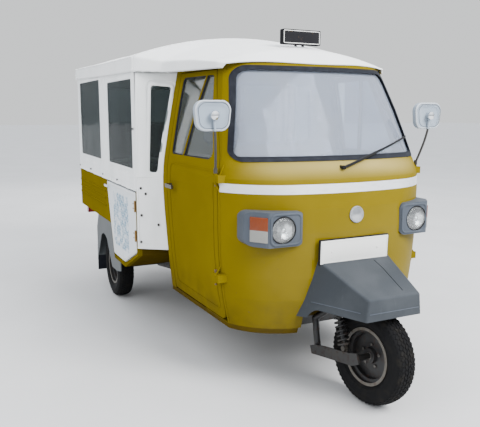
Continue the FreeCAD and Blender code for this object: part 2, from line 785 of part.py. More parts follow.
seal_out = panel("SealOut", "XZ", screen_outline(0), behind(0), screen_depth,
                 rounds=[(screen_low_round, screen_outline(0)[:2]), (screen_high_round, screen_outline(0)[2:])])
seal_in = panel("SealIn", "XZ", screen_outline(seal_band), behind(0) - 10, screen_depth + 20,
                rounds=[(screen_low_round - seal_band, screen_outline(seal_band)[:2]),
                        (screen_high_round - seal_band, screen_outline(seal_band)[2:])])
seal_ring = shared("SealBand", seal_skin, less("SealRing", seal_out, seal_in))
keep("windscreen_seal", less("WindscreenSeal", seal_ring, door_zone))
rear_pane = panel("RearPane", "XZ", rear_window_outline(0), behind(s.cab_rear_behind - 60), 120,
                  rounds=[(50, rear_window_outline(0))])
keep("windscreen", shared("Windscreen", glass_skin, seal_in))
keep("cab_rear_glass", shared("CabRearGlass", glass_skin, rear_pane))

# Cab roof

roof_rise = 30
roof_wire = cab_section(*CAB_SECTIONS[-1], 0.0)
roof_low = Part.makeLoft([roof_wire, roof_wire.makeOffset2D(-90, 2).translated(Vector(0, 0, roof_rise))], True, True)
keep("cab_roof", form("CabRoof", roof_low))

# Front mudguard: a pressed wedge with a flat top between two ridges, bolted to the nose.

GUARD_SECTIONS = [
    # behind the wheel centre, half width and height below, half width and height above
    (-150, 152, 440, 141, 554),
    (235, 290, 392, 213, 692),
]


def guard_wire(row, wall, ahead):
    """One cross-section of the mudguard, drawn in by its wall; ahead moves it along Y."""
    back, low_half, low, high_half, high = row
    y = float(behind(back + ahead))
    low = low - (1 if wall else 0)
    corners = [(-low_half + wall, low), (-high_half + wall, high - wall), (high_half - wall, high - wall), (low_half - wall, low)]
    points = [Vector(x, y, z) for x, z in corners]
    return Part.makePolygon(points + points[:1])


wall = float(s.guard_sheet)
guard_outside = Part.makeLoft([guard_wire(row, 0, 0) for row in GUARD_SECTIONS], True, True)
upper_edges = [e for e in guard_outside.Edges if e.CenterOfMass.z > 470 and e.CenterOfMass.y < float(behind(200))]
guard_outside = guard_outside.makeFillet(12, upper_edges)
guard_inside = Part.makeLoft([guard_wire(GUARD_SECTIONS[0], wall, wall), guard_wire(GUARD_SECTIONS[1], wall, 1)], True, True)
upper_edges = [e for e in guard_inside.Edges if e.CenterOfMass.z > 470 and e.CenterOfMass.y < float(behind(200))]
guard_inside = guard_inside.makeFillet(12 - wall, upper_edges)
guard_skin = form("GuardSkin", guard_outside.cut(guard_inside))
guard_below = panel("GuardBelow", "YZ", [
    (behind(-200), 380), (behind(-200), 458), (behind(96), 449), (behind(126), 440, "via"), (behind(152), 412),
    (behind(160), 380),
], -far, wide)
keep("front_mudguard", less("FrontMudguard", less("GuardTrimmed", guard_skin, guard_below), cab_clear))

# Lamps: a moulded housing on each side of the nose, with a round headlamp and an indicator on its slope.

housing_in = 104
housing_out = 150
housing_low = 746
housing_high = 907
housing_face = 22
slope_start = 72
slope_back = 105
lens_deep = 21
lens_dome = 216
indicator_low = 768
indicator_high = 884


def on_slope(along, proud):
    """A place on the housing's outer slope: a distance along it, and a height above its face."""
    start = (s.lamp_across + slope_start, behind(s.nose_behind + housing_face))
    run = (housing_out - slope_start, slope_back)
    length = math.hypot(*run)
    u, v = (r / length for r in run)
    return (start[0] + along * u + proud * v, start[1] + along * v - proud * u)


housings, indicators, headlamps = [], [], []
for side, way in SIDES:
    plan = sided(way, [
        (s.lamp_across - housing_in, behind(s.nose_behind + housing_face - 6)), on_slope(0, 0),
        (s.lamp_across + housing_out, behind(s.nose_behind + housing_face + slope_back)),
        (s.lamp_across + housing_out, behind(500)), (s.lamp_across - housing_in, behind(500)),
    ])
    solid = panel(f"HousingPlan{side}", "XY", plan, housing_low, housing_high - housing_low,
                  rounds=[(16, [p for p in plan if float(p[1]) < float(behind(400))])])
    front = sided(way, [
        (s.lamp_across - housing_in, housing_low), (s.lamp_across + housing_out, housing_low),
        (s.lamp_across + housing_out, housing_high), (s.lamp_across - housing_in, housing_high),
    ])
    face = panel(f"HousingFace{side}", "XZ", front, behind(0), 520, rounds=[(34, front)])
    lamp_room = rod(f"LampRoom{side}", (way * s.lamp_across, behind(0), s.lamp_height), 400,
                    s.lamp_radius + s.seat_gap, "Y")
    strip = sided(way, [on_slope(8, 4), on_slope(98, 4), on_slope(98, -10), on_slope(8, -10)])
    room = sided(way, [on_slope(7.7, 20), on_slope(98.3, 20), on_slope(98.3, -10.3), on_slope(7.7, -10.3)])
    lens_room = panel(f"IndicatorRoom{side}", "XY", room, indicator_low - s.seat_gap,
                      indicator_high - indicator_low + s.seat_gap * 2)
    indicators.append(panel(f"Indicator{side}", "XY", strip, indicator_low, indicator_high - indicator_low))
    moulded = shared(f"HousingBlock{side}", solid, face)
    housings.append(less(f"Housing{side}", moulded, fused(f"HousingRooms{side}", [
        form(f"NoseCopy{side}", cab_clear.Shape), lamp_room, lens_room])))
    lens_back = nose_at(s.lamp_across - s.lamp_radius, s.lamp_height) - s.seat_gap
    glass = rod(f"LensGlass{side}", (way * s.lamp_across, lens_back - lens_deep, s.lamp_height), lens_deep,
                s.lamp_radius, "Y")
    dome = doc.addObject("Part::Sphere", f"LensDome{side}")
    bind(dome, "Radius", lens_dome)
    put(dome, way * s.lamp_across, lens_back - lens_deep + lens_dome, s.lamp_height)
    headlamps.append(shared(f"Lens{side}", glass, dome))
keep("headlamp_housings", group("HeadlampHousings", housings))
keep("headlamps", group("Headlamps", headlamps))
keep("indicators", group("Indicators", indicators))

# Wiper: a spindle under the screen, and an arm and blade that follow the glass.

blade_radius = 4.5
blade_off = 13
WIPER_PATH = [(-36, 1092), (15, 1104), (130, 1134), (250, 1165), (370, 1196), (480, 1225)]
blade = bent("WiperBlade", [(x, nose_at(x, z) - blade_off, z) for x, z in WIPER_PATH], blade_radius)
spindle_x, spindle_z = WIPER_PATH[0]
spindle_y = nose_at(spindle_x, spindle_z) - blade_off - 9
spindle = less("WiperSeat", rod("WiperSpindle", (spindle_x, spindle_y, spindle_z), 40, 9, "Y"), cab_clear)
keep("wiper", fused("Wiper", [spindle, blade]))

# Mirrors: a rounded shell on a bent arm that stands on the upper door hinge.

shell_deep = 24
mirror_y = behind(405)
arm_radius = 6


def mirror_outline(inset):
    """The mirror's front outline about its middle, narrower below."""
    return [(-78 + inset, -70 + inset), (78 - inset, -70 + inset), (93 - inset, 68 - inset), (-93 + inset, 68 - inset)]


mirrors, mirror_glasses = [], []
for side, way in SIDES:
    middle = (way * s.mirror_across, s.mirror_height)
    around = [(middle[0] + u, middle[1] + v) for u, v in mirror_outline(0)]
    shell = panel(f"MirrorShell{side}", "XZ", around, mirror_y - shell_deep / 2, shell_deep, rounds=[(44, around)])
    inner_line = [(middle[0] + u, middle[1] + v) for u, v in mirror_outline(7)]
    mirror_glasses.append(panel(f"MirrorGlass{side}", "XZ", inner_line, mirror_y + shell_deep / 2 + s.seat_gap, 2.5,
                                rounds=[(37, inner_line)]))
    foot = hinge_levels[1] + pin_reach + s.seat_gap
    path = [
        (way * hinge_x, hinge_y, foot + 12), (way * (hinge_x + 13), hinge_y - 32, foot + 102),
        (way * (s.mirror_across - 6), mirror_y - 20, s.mirror_height - 80),
        (way * s.mirror_across, mirror_y - 22, s.mirror_height),
    ]
    mirrors.append(fused(f"Mirror{side}", [
        shell, rod(f"MirrorFoot{side}", (way * hinge_x, hinge_y, foot), 24, 9),
        rod(f"MirrorBoss{side}", (way * s.mirror_across, mirror_y - 34, s.mirror_height), 30, 18, "Y"),
        bent(f"MirrorArm{side}", path, arm_radius),
    ]))
keep("mirrors", group("Mirrors", mirrors))
keep("mirror_glasses", group("MirrorGlasses", mirror_glasses))

# Inside the cab

dash_rear = 380
dash_zone = panel("DashZone", "YZ", [
    (behind(100), 1040), (behind(dash_rear), 1052), (behind(dash_rear), 1104), (behind(100), 1104),
], -far, wide)
keep("dashboard", shared("Dashboard", cab_within, dash_zone))
seat_half = 290
seat_top = 610
back_top = 980
driver_base = block("DriverSeatBase", (-seat_half + 30, behind(770), floor_level + s.seat_gap),
                    ((seat_half - 30) * 2, 350, 180))
driver_seat = panel("DriverSeat", "YZ", [
    (behind(720), floor_level + 180 + s.seat_gap * 2), (behind(1140), floor_level + 180 + s.seat_gap * 2),
    (behind(1140), back_top), (behind(1070), back_top), (behind(1050), seat_top), (behind(720), seat_top),
], -seat_half, seat_half * 2, rounds=[(30, [(behind(1140), back_top), (behind(1070), back_top), (behind(720), seat_top)])])

# Bed: one bent sheet makes the front, the footwell and the floor. The side door's slanted rear edge sets the step.

bed_front = behind(s.bed_front_behind)
bed_rear = bed_front + s.bed_length
inner = s.bed_half_width - s.bed_wall
side_low = s.bed_floor - s.bed_sheet
well_low = s.well_floor - s.bed_sheet
front_low = 490
slope = 300
door_start = bed_front + 22
door_rear_top = bed_front + s.side_door_length
door_top = s.bed_rail - 8
door_tip = s.well_floor + 14
door_slant = 158
strip = 12
rib_radius = 7
RIB_LEVELS = (795, 745, 695)


def slant(height, past_door):
    """A place on the side door's slanted rear edge, or past it."""
    return door_rear_top + past_door - (door_top - height) * door_slant / (float(door_top) - float(door_tip))


edge = s.door_gap + strip
tub = [
    (bed_front, s.bed_rail), (bed_front, front_low), (bed_front + slope, well_low),
    (slant(well_low, edge), well_low), (slant(side_low, edge), side_low), (bed_rear, side_low),
    (bed_rear, s.bed_floor), (slant(s.bed_floor, edge - s.bed_sheet), s.bed_floor),
    (slant(s.well_floor, edge - s.bed_sheet), s.well_floor), (bed_front + slope + 4, s.well_floor),
    (bed_front + s.bed_sheet, front_low + 12), (bed_front + s.bed_sheet, s.bed_rail),
]
tub_body = panel("BedTub", "YZ", tub, -inner, inner * 2)
side_below = tub[:6]
doorway = [
    (slant(s.bed_rail, s.door_gap), s.bed_rail), (slant(door_tip - s.door_gap, s.door_gap), door_tip - s.door_gap),
    (bed_front + slope - 3, door_tip - s.door_gap), (door_start - s.door_gap, front_low + 16 - s.door_gap),
    (door_start - s.door_gap, s.bed_rail),
]
for side, way, rest, rib_start in (("left", 1, [], bed_front + 60), ("right", -1, doorway, door_rear_top + 40)):
    flank = panel(f"BedFlank{side}", "YZ", side_below + [(bed_rear, s.bed_rail), *rest],
                  faced(way, inner, s.bed_wall), s.bed_wall)
    ribs = [rod(f"BedRib{side}{level}", (way * s.bed_half_width, rib_start, level), bed_rear - 12 - rib_start, rib_radius, "Y")
            for level in RIB_LEVELS]
    outer_half = panel(f"RibZone{side}", "YZ", [
        (bed_front, side_low), (bed_rear, side_low), (bed_rear, s.bed_rail), (bed_front, s.bed_rail),
    ], faced(way, inner + 6, s.bed_wall + 20), s.bed_wall + 20)
    pressed = shared(f"BedRibs{side}", fused(f"RibRods{side}", ribs), outer_half)
    keep(f"bed_side_{side}", fused(f"BedSide{side}", [flank, pressed]))

side_door = [
    (door_start, door_top), (door_rear_top, door_top), (slant(door_tip, 0), door_tip),
    (bed_front + slope, door_tip), (door_start, front_low + 16),
]
board = panel("SideDoorBoard", "YZ", side_door, -s.bed_half_width, s.side_door_wall)
board_hinge_x = -s.bed_half_width - 7
board_hinge_y = door_start - s.door_gap / 2
board_pin = 5
board_levels = (610, 790)
board_pins = []
board_leaves = []
for n, level in enumerate(board_levels):
    board_pins.append(fused(f"BoardHinge{n}", [
        rod(f"BoardPin{n}", (board_hinge_x, board_hinge_y, level - 34), 68, board_pin),
        block(f"BoardPinLeaf{n}", (-s.bed_half_width - 3, bed_front + 1, level - 30), (3 - s.seat_gap, 14, 60)),
        block(f"BoardPinNeck{n}", (board_hinge_x - 1, board_hinge_y - 8, level - 34), (5, 8, 12)),
    ]))
    board_leaves.append(less(f"BoardLeafCut{n}", block(
        f"BoardLeaf{n}", (-s.bed_half_width - 9, board_hinge_y, level - 20), (9, 34, 40)),
        rod(f"BoardRoom{n}", (board_hinge_x, board_hinge_y, level - 40), 80, board_pin + s.seat_gap)))
latch = [
    rod("LatchBoss", (-s.bed_half_width - 16, door_rear_top - 60, door_top - 30), 20, 9, "X"),
    block("LatchLever", (-s.bed_half_width - 20, door_rear_top - 68, door_top - 38), (5, 80, 14)),
]
keep("side_door", fused("SideDoor", [board, *board_leaves, *latch]))
keep("side_door_hinges", group("SideDoorHinges", board_pins))

tail_y = bed_rear + 6
tail_half = inner + 20
tail_low = s.bed_floor - 14
tail_pin = 7
knuckle = 40
tail_pivot_y = tail_y + s.tailgate_wall / 2
tail_pivot_z = tail_low - tail_pin - 3
gate_parts = [panel("TailgatePanel", "XZ", [
    (-tail_half, tail_low), (tail_half, tail_low), (tail_half, s.bed_rail - 4), (-tail_half, s.bed_rail - 4),
], tail_y, s.tailgate_wall)]
gate_ribs = [rod(f"GateRib{level}", (-tail_half + 40, tail_y + s.tailgate_wall, level), (tail_half - 40) * 2, rib_radius, "X")
             for level in RIB_LEVELS]
bed_knuckles = []
for n, share in enumerate((-1, 0, 1)):
    x = share * tail_half * 0.7
    start = x + s.seat_gap / 2
    gate_parts.append(rod(f"GateKnuckle{n}", (start, tail_pivot_y, tail_pivot_z), knuckle, tail_pin, "X"))
    gate_parts.append(block(f"GateNeck{n}", (start, tail_pivot_y - 5, tail_pivot_z), (knuckle, 10, tail_pin + 4)))
    start = x - knuckle - s.seat_gap / 2
    bed_knuckles.append(rod(f"BedKnuckle{n}", (start, tail_pivot_y, tail_pivot_z), knuckle, tail_pin, "X"))
    bed_knuckles.append(block(f"BedBracket{n}", (start, bed_rear - 20, tail_pivot_z - 5), (knuckle, tail_pivot_y - bed_rear + 20, 10)))
keep("tailgate", fused("Tailgate", gate_parts + gate_ribs))
keep("bed_floor", fused("BedFloor", [tub_body, *bed_knuckles]))

# Passenger bench across the bed

bench_front = behind(2210)
bench_deep = 400
bench_half = inner - 60
bench_base = block("BenchBase", (-bench_half + 20, bench_front + 30, s.bed_floor + s.seat_gap),
                   ((bench_half - 20) * 2, bench_deep - 60, 240))
bench_low = s.bed_floor + 240 + s.seat_gap * 2
bench = panel("Bench", "YZ", [
    (bench_front, bench_low), (bench_front + bench_deep + 40, bench_low), (bench_front + bench_deep + 60, bench_low + 430),
    (bench_front + bench_deep, bench_low + 430), (bench_front + bench_deep - 30, bench_low + 90), (bench_front, bench_low + 90),
], -bench_half, bench_half * 2, rounds=[(28, [(bench_front, bench_low + 90), (bench_front + bench_deep, bench_low + 430)])])
keep("seats", group("Seats", [driver_seat, bench]))
keep("seat_bases", group("SeatBases", [driver_base, bench_base]))

# Rear fenders: a cheek outside the tyre and an arch over it, behind the step and under the bed.

fender_depth = 170
arch_rear = 262
wheel_room = 18
rear_axle_y = behind(s.wheelbase)
fender_top = side_low - s.seat_gap
fender_under = well_low - s.seat_gap
lead = edge + s.seat_gap
fenders, flaps = [], []
for side, way in SIDES:
    mid = rear_axle_y
    back = mid + arch_rear
    above = [
        (back, 252), (back, 480), (mid + 200, fender_top), (slant(fender_top, lead), fender_top),
        (slant(fender_under, lead), fender_under),
    ]
    cheek = panel(f"FenderCheek{side}", "YZ", above + [
        (mid - 430, fender_under), (mid - 430, 290), (mid - 330, 268), (mid - 190, 268),
        (mid - 60, s.tyre_radius * 2 - wheel_room), (mid, s.tyre_radius * 2 + 6, "via"),
        (mid + 120, s.tyre_radius * 2 - wheel_room), (mid + 246, 260),
    ], faced(way, s.bed_half_width - s.fender_sheet, s.fender_sheet), s.fender_sheet)
    arch = panel(f"FenderBand{side}", "YZ", above + [
        (slant(fender_under, lead + 8), fender_under), (slant(fender_top - 8, lead + 8), fender_top - 8),
        (mid + 196, fender_top - 8), (back - 8, 476), (back - 8, 252),
    ], faced(way, s.bed_half_width - fender_depth, fender_depth), fender_depth)
    fenders.append(fused(f"RearFender{side}", [cheek, arch]))
    flaps.append(block(f"Mudflap{side}", (faced(way, s.bed_half_width - fender_depth, fender_depth), back + s.seat_gap, 137),
                       (fender_depth, 6, 200)))
keep("rear_fenders", group("RearFenders", fenders))
keep("mudflaps", group("Mudflaps", flaps))
lamp_deep = 46
tail_lamps = [block(f"TailLamp{side}", (faced(way, inner - 110, 100), bed_rear - lamp_deep - 8, side_low - s.seat_gap - 74),
                    (100, lamp_deep, 74)) for side, way in SIDES]
keep("tail_lamps", group("TailLamps", tail_lamps))

# Chassis: two rails that rise behind the step, with cross members.

rail_x = s.rail_spacing / 2
rail_top = s.cab_bottom
rail_ahead = 36
RAIL_OUTLINE = [
    (behind(420), rail_top), (behind(420), rail_top - s.rail_height),
    (slant(rail_top - s.rail_height, edge + rail_ahead + 70), rail_top - s.rail_height),
    (slant(side_low - s.rail_height, edge + rail_ahead + 70), side_low - s.rail_height),
    (bed_rear - 20, side_low - s.rail_height), (bed_rear - 20, side_low),
    (slant(side_low, edge + rail_ahead), side_low), (slant(rail_top, edge + rail_ahead), rail_top),
]
rails = [panel(f"Rail{side}", "YZ", RAIL_OUTLINE, way * rail_x - s.rail_width / 2, s.rail_width) for side, way in SIDES]
hanger_low = s.engine_top + s.seat_gap
CROSS_MEMBERS = [
    # name, start along Y, underside, length along Y, height
    ("CrossFront", behind(450), rail_top - 55, 60, 50),
    ("CrossWell", bed_front + slope + 80, rail_top - 55, 60, 50),
    ("CrossRear", bed_rear - 100, side_low - 55, 60, 50),
    ("EngineHanger", rear_axle_y - 20, hanger_low, 60, side_low - 5 - hanger_low),
]
cross = [block(name, (-rail_x, start, low), (s.rail_spacing, deep, high)) for name, start, low, deep, high in CROSS_MEMBERS]
risers = [block(f"Riser{side}", (way * rail_x - s.rail_width / 2, bed_front + slope + 40, rail_top),
                (s.rail_width, 180, well_low - rail_top)) for side, way in SIDES]
keep("chassis_frame", fused("ChassisFrame", rails + cross + risers))
engine_rear = rear_axle_y + 220
engine_low = s.tyre_radius - 8
keep("engine", block("Engine", (-s.engine_half, rear_axle_y - 160, engine_low),
                     (s.engine_half * 2, engine_rear - rear_axle_y + 160, s.engine_top - engine_low)))
silencer_radius = 52
silencer_y = engine_rear + s.seat_gap + silencer_radius
keep("exhaust", fused("Exhaust", [
    rod("Silencer", (-130, silencer_y, engine_low + 80), 260, silencer_radius, "X"),
    rod("TailPipe", (-100, silencer_y, engine_low + 80), bed_rear - 60 - silencer_y, 18, "Y"),
]))

# Each rear wheel runs on its shaft at the end of a trailing arm that pivots on the chassis rail.

arm_wall = 30
arm_inner = rail_x + s.rail_width / 2 + s.seat_gap
arm_front = slant(rail_top, edge + rail_ahead) - 96
arm_level = rail_top - 32
tube_radius = 30
tube_bore = s.hub_bore + 4
spring_x = 430
spring_radius = 34
spring_wire = 6
hub_face = s.track / 2 - 22
shafts, suspension = [], []
for side, way in SIDES:
    reach = hub_face + 40 - s.engine_half - s.seat_gap
    shafts.append(rod(f"DriveShaft{side}", (faced(way, s.engine_half + s.seat_gap, reach), rear_axle_y, s.tyre_radius),
                      reach, s.hub_bore - s.running_gap, "X"))
    plate = panel(f"RearArmPlate{side}", "YZ", [
        (arm_front - 30, arm_level - 24), (rear_axle_y, s.tyre_radius - 40), (rear_axle_y + 40, s.tyre_radius - 20),
        (rear_axle_y + 40, s.tyre_radius + 24), (rear_axle_y, s.tyre_radius + 44), (arm_front - 30, arm_level + 24),
    ], faced(way, arm_inner, arm_wall), arm_wall)
    tube_long = hub_face - s.seat_gap - arm_inner - 2
    tube = rod(f"HubTube{side}", (faced(way, arm_inner + 2, tube_long), rear_axle_y, s.tyre_radius), tube_long, tube_radius, "X")
    bore = rod(f"HubBore{side}", (-far, rear_axle_y, s.tyre_radius), wide, tube_bore, "X")
    suspension.append(less(f"RearArm{side}", fused(f"RearArmWhole{side}", [plate, tube]), bore))
    foot = s.tyre_radius + tube_radius + s.seat_gap
    suspension.append(fused(f"RearDamper{side}", [
        rod(f"RearDamperRod{side}", (way * spring_x, rear_axle_y, foot), side_low - s.seat_gap - foot, 14),
        rod(f"RearCapLow{side}", (way * spring_x, rear_axle_y, foot), 10, 42),
        rod(f"RearCapHigh{side}", (way * spring_x, rear_axle_y, side_low - s.seat_gap - 10), 10, 42),
        rod(f"RearDamperBody{side}", (way * spring_x, rear_axle_y, foot), 170, 22),
    ]))
keep("drive_shafts", group("DriveShafts", shafts))
keep("rear_suspension", group("RearSuspension", suspension))

# Canopy roof

ROOF_SECTIONS = [
    # place along Y, half width, eave, shoulder, crown
    (behind(500), s.cab_half_width * 0.739, s.cab_top - 6, s.cab_top, s.crown - 192),
    (behind(545), s.cab_half_width * 0.776, s.cab_top - 14, s.cab_top + 4, s.crown - 165),
    (behind(620), s.cab_half_width * 0.850, s.cab_top - 26, s.cab_top + 8, s.crown - 123),
    (behind(900), s.cab_half_width * 0.907, s.cab_top - 27, s.cab_top + 26, s.crown - 55),
    (behind(1170), s.cab_half_width * 0.997, s.cab_top - 24, s.cab_top + 34, s.crown - 23),
    (bed_front, s.canopy_half_width, s.cab_top - 18, s.cab_top + 70, s.crown),
    (bed_front + s.bed_length * 0.5, s.canopy_half_width, s.cab_top - 5, s.cab_top + 80, s.crown),
    (bed_rear - 85, s.canopy_half_width, s.cab_top + 12, s.cab_top + 96, s.crown - 25),
    (bed_rear + 15, s.canopy_half_width, s.cab_top + 14, s.cab_top + 94, s.crown - 50),
]
roof_taper = 3


def roof_section(row, inset):
    """One cross-section of the roof cloth, open below."""
    y, half, eave, shoulder, crown = (float(size) for size in row)
    half -= inset
    low = eave - (1 if inset > 0 else 0)
    points = [Vector(half, y, low), Vector(half - roof_taper, y, shoulder - inset * 0.4), Vector(0, y, crown - inset),
              Vector(-half + roof_taper, y, shoulder - inset * 0.4), Vector(-half, y, low)]
    edges = [
        Part.LineSegment(points[4], points[0]), Part.LineSegment(points[0], points[1]),
        Part.Arc(points[1], points[2], points[3]), Part.LineSegment(points[3], points[4]),
    ]
    return Part.Wire([e.toShape() for e in edges])


def roof_solid(inset):
    """The roof's form, drawn in by an inset."""
    return Part.makeLoft([roof_section(row, float(inset)) for row in ROOF_SECTIONS], True, True)


roof_cloth = form("RoofCloth", roof_solid(0).cut(roof_solid(s.canopy_sheet)))
lip = 507
roof_ahead = panel("RoofAhead", "XY", [
    (-far, behind(400)), (far, behind(400)), (far, behind(lip + 83)), (500, behind(lip + 83)), (0, behind(lip), "via"),
    (-500, behind(lip + 83)), (-far, behind(lip + 83)),
], 1400, 600)
keep("canopy_roof", less("CanopyRoof", roof_cloth, roof_ahead))

# Roof sign: a blank box on two feet.

sign_y = behind(688)
sign_low = s.crown - 94
feet = [block(f"SignFoot{side}", (way * 22 - 4, sign_y + 8, sign_low - 60), (8, 16, 70)) for side, way in SIDES]
feet_seated = less("SignFeet", fused("SignFeetWhole", feet), form("RoofClear", roof_solid(-s.seat_gap)))
sign_line = [(-108, sign_low), (123, sign_low), (123, sign_low + 77), (-108, sign_low + 77)]
keep("roof_sign", fused("RoofSign", [panel("SignBox", "XZ", sign_line, sign_y, 32, rounds=[(5, sign_line)]), feet_seated]))

# Curtains: cloth sides and rear with clear windows, and a front strip on each side that reaches to the cab.

curtain_out = s.canopy_half_width - s.canopy_sheet - roof_taper - s.seat_gap
curtain_x = curtain_out - s.curtain
curtain_top = s.cab_top + 60
window_low = 1010
window_high = s.cab_top - 52
pane = 2


def curtain_hole(first, last, high):
    """A clear window of a side curtain between two places along the bed, up to a height."""
    return [(first, window_low), (last, window_low), (last, high), (first, high)]


side_holes = [
    curtain_hole(bed_front + 53, bed_front + 648, window_high),
    curtain_hole(bed_front + 883, bed_rear - 95, window_high + 36),
]
curtains, windows = [], []
for side, way in SIDES:
    curtains.append(panel(f"Curtain{side}", "YZ", [
        (bed_front, s.canopy_hem), (bed_rear, s.canopy_hem), (bed_rear, curtain_top), (bed_front, curtain_top),
    ], faced(way, curtain_x, s.curtain), s.curtain, holes=side_holes))
    windows += [panel(f"Pane{side}{n}", "YZ", hole, faced(way, curtain_x + 1, pane), pane)
                for n, hole in enumerate(side_holes)]
rear_hole = [(-520, window_low), (520, window_low), (520, window_high), (-520, window_high)]
rear_half_width = curtain_x - s.seat_gap
curtains.append(panel("CurtainRear", "XZ", [
    (-rear_half_width, s.canopy_hem), (rear_half_width, s.canopy_hem), (rear_half_width, curtain_top),
    (-rear_half_width, curtain_top),
], bed_rear - s.curtain, s.curtain, holes=[rear_hole]))
windows.append(panel("PaneRear", "XZ", rear_hole, bed_rear - s.curtain + 1, pane))

STRIP_LEVELS = (541, 700, 900, 1120, 1350, 1570)
strip_lap = 15


def strip_wire(level, start, deep, way):
    """A level of a front strip: from the bed's corner to behind the cab's corner."""
    outer = float(s.bed_half_width) - 0.3 - max(level - 1350, 0) * 0.03
    inner_x = float(rear_half(level)) - strip_lap
    out_y = float(bed_front - s.seat_gap - 5) + start
    in_y = float(behind(s.cab_rear_behind) + s.seat_gap) + start
    points = [Vector(way * x, y, level) for x, y in (
        (outer, out_y), (inner_x, in_y), (inner_x, in_y + deep), (outer, out_y + deep))]
    return Part.makePolygon(points + points[:1])


for side, way in SIDES:
    cloth = form(f"StripCloth{side}", Part.makeLoft([strip_wire(z, 0, 5, way) for z in STRIP_LEVELS], True, True))
    film = form(f"StripFilm{side}", Part.makeLoft([strip_wire(z, 1.5, 2, way) for z in STRIP_LEVELS], True, True))
    line = sided(way, [(632, 1000), (672, 1000), (648, 1500), (542, 1490)])
    window = panel(f"StripWindow{side}", "XZ", line, behind(1100), 260,
                   rounds=[(40, [p for p in line if p[1] > 1400]), (8, [p for p in line if p[1] < 1400])])
    curtains.append(less(f"Strip{side}", cloth, window))
    windows.append(shared(f"StripPane{side}", film, window))
keep("canopy_curtains", group("CanopyCurtains", curtains))
keep("canopy_windows", group("CanopyWindows", windows))

# Canopy frame: posts that stand on the bed's rail, hoops and top rails.

post_x = curtain_x - s.seat_gap - s.post
bow_low = s.cab_top + 32
POSTS_ALONG = (bed_front, door_rear_top + 33, bed_rear - s.post - s.curtain - s.seat_gap)
tubes = []
for n, start in enumerate(POSTS_ALONG):
    tubes.append(block(f"Bow{n}", (-post_x, start, bow_low), (post_x * 2, s.post, s.post)))
    for side, way in SIDES:
        tubes.append(block(f"Post{side}{n}", (faced(way, post_x, s.post), start, s.bed_rail + s.seat_gap),
                           (s.post, s.post, bow_low + s.post - s.bed_rail - s.seat_gap)))
for side, way in SIDES:
    tubes.append(block(f"TopRail{side}", (faced(way, post_x, s.post), bed_front, bow_low),
                       (s.post, POSTS_ALONG[2] - bed_front + s.post, s.post)))
keep("canopy_frame", fused("CanopyFrame", tubes))

doc.recompute()

# Checks and export

faults = [o.Label for o in doc.Objects if "Invalid" in o.State or "Error" in o.State]
for label, thing in made.items():
    if thing.Shape.isNull() or not thing.Shape.isValid() or thing.Shape.Volume <= 0:
        faults.append(f"{label}: shape")
if faults:
    raise RuntimeError(f"failed: {faults}")
os.makedirs("parts", exist_ok=True)
for label, thing in made.items():
    thing.Shape.exportStep(f"parts/{label}.step")
    print(f"{label}: {len(thing.Shape.Solids)} solids, {thing.Shape.Volume / 1e6:.2f} litres")
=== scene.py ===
"""Looks of an auto rickshaw: paint, cloth, lamps, tyres, seats and trim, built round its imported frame.

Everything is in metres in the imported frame: the front is at -Y, the vehicle's left is +X, the ground is Z = 0.
"""

from __future__ import annotations

import json
import logging
import math
from dataclasses import dataclass
from enum import Enum
from typing import Callable, Sequence

import bmesh
import bpy
from mathutils import Matrix, Vector
from mathutils.bvhtree import BVHTree


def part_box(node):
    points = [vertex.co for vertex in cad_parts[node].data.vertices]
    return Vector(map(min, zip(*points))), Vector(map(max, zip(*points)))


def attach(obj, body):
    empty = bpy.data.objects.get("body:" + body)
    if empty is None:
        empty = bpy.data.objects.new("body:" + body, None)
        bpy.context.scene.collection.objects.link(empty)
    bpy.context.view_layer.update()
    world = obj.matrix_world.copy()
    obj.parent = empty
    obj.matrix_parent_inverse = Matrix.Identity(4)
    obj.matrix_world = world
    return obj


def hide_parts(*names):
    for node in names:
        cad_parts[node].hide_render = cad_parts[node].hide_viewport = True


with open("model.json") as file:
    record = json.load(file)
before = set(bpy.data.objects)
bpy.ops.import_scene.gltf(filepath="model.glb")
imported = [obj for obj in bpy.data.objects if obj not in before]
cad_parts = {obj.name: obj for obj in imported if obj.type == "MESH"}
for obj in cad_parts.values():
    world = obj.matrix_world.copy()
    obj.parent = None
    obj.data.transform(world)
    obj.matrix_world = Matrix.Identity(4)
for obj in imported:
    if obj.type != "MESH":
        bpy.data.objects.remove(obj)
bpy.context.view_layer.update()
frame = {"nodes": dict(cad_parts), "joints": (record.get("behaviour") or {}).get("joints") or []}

LOG = logging.getLogger("rickshaw")
WAVE_BAND = 6.28  # radians of a Wave texture in one metre at a scale of one
SHARP_EDGE = 0.5  # radians: edges that turn by more are bevelled
X, Y, Z = Vector((1, 0, 0)), Vector((0, 1, 0)), Vector((0, 0, 1))
Colour = tuple[float, float, float]
Point = tuple[float, float, float] | Vector
Outline = list[tuple[float, float]]


class Side(Enum):
    """The vehicle's two sides; the value is the sign of X there."""

    LEFT = 1
    RIGHT = -1

    @property
    def word(self) -> str:
        """The side's name in lower case."""
        return self.name.lower()


class Slot(str, Enum):
    """Material slots of the record; each new piece is handed one, which nothing reads."""

    PAINT = "body_paint"
    CANVAS = "canvas"
    GLASS = "window_glass"
    RUBBER = "seal_rubber"
    TYRE = "tyre"
    STEEL = "bare_steel"
    CHROME = "chrome"
    BRASS = "hinge_brass"
    PLASTIC = "grey_plastic"
    DARK = "dark_plastic"
    BOARD = "board_white"
    SEAT = "seat_cover"


# Shader graphs


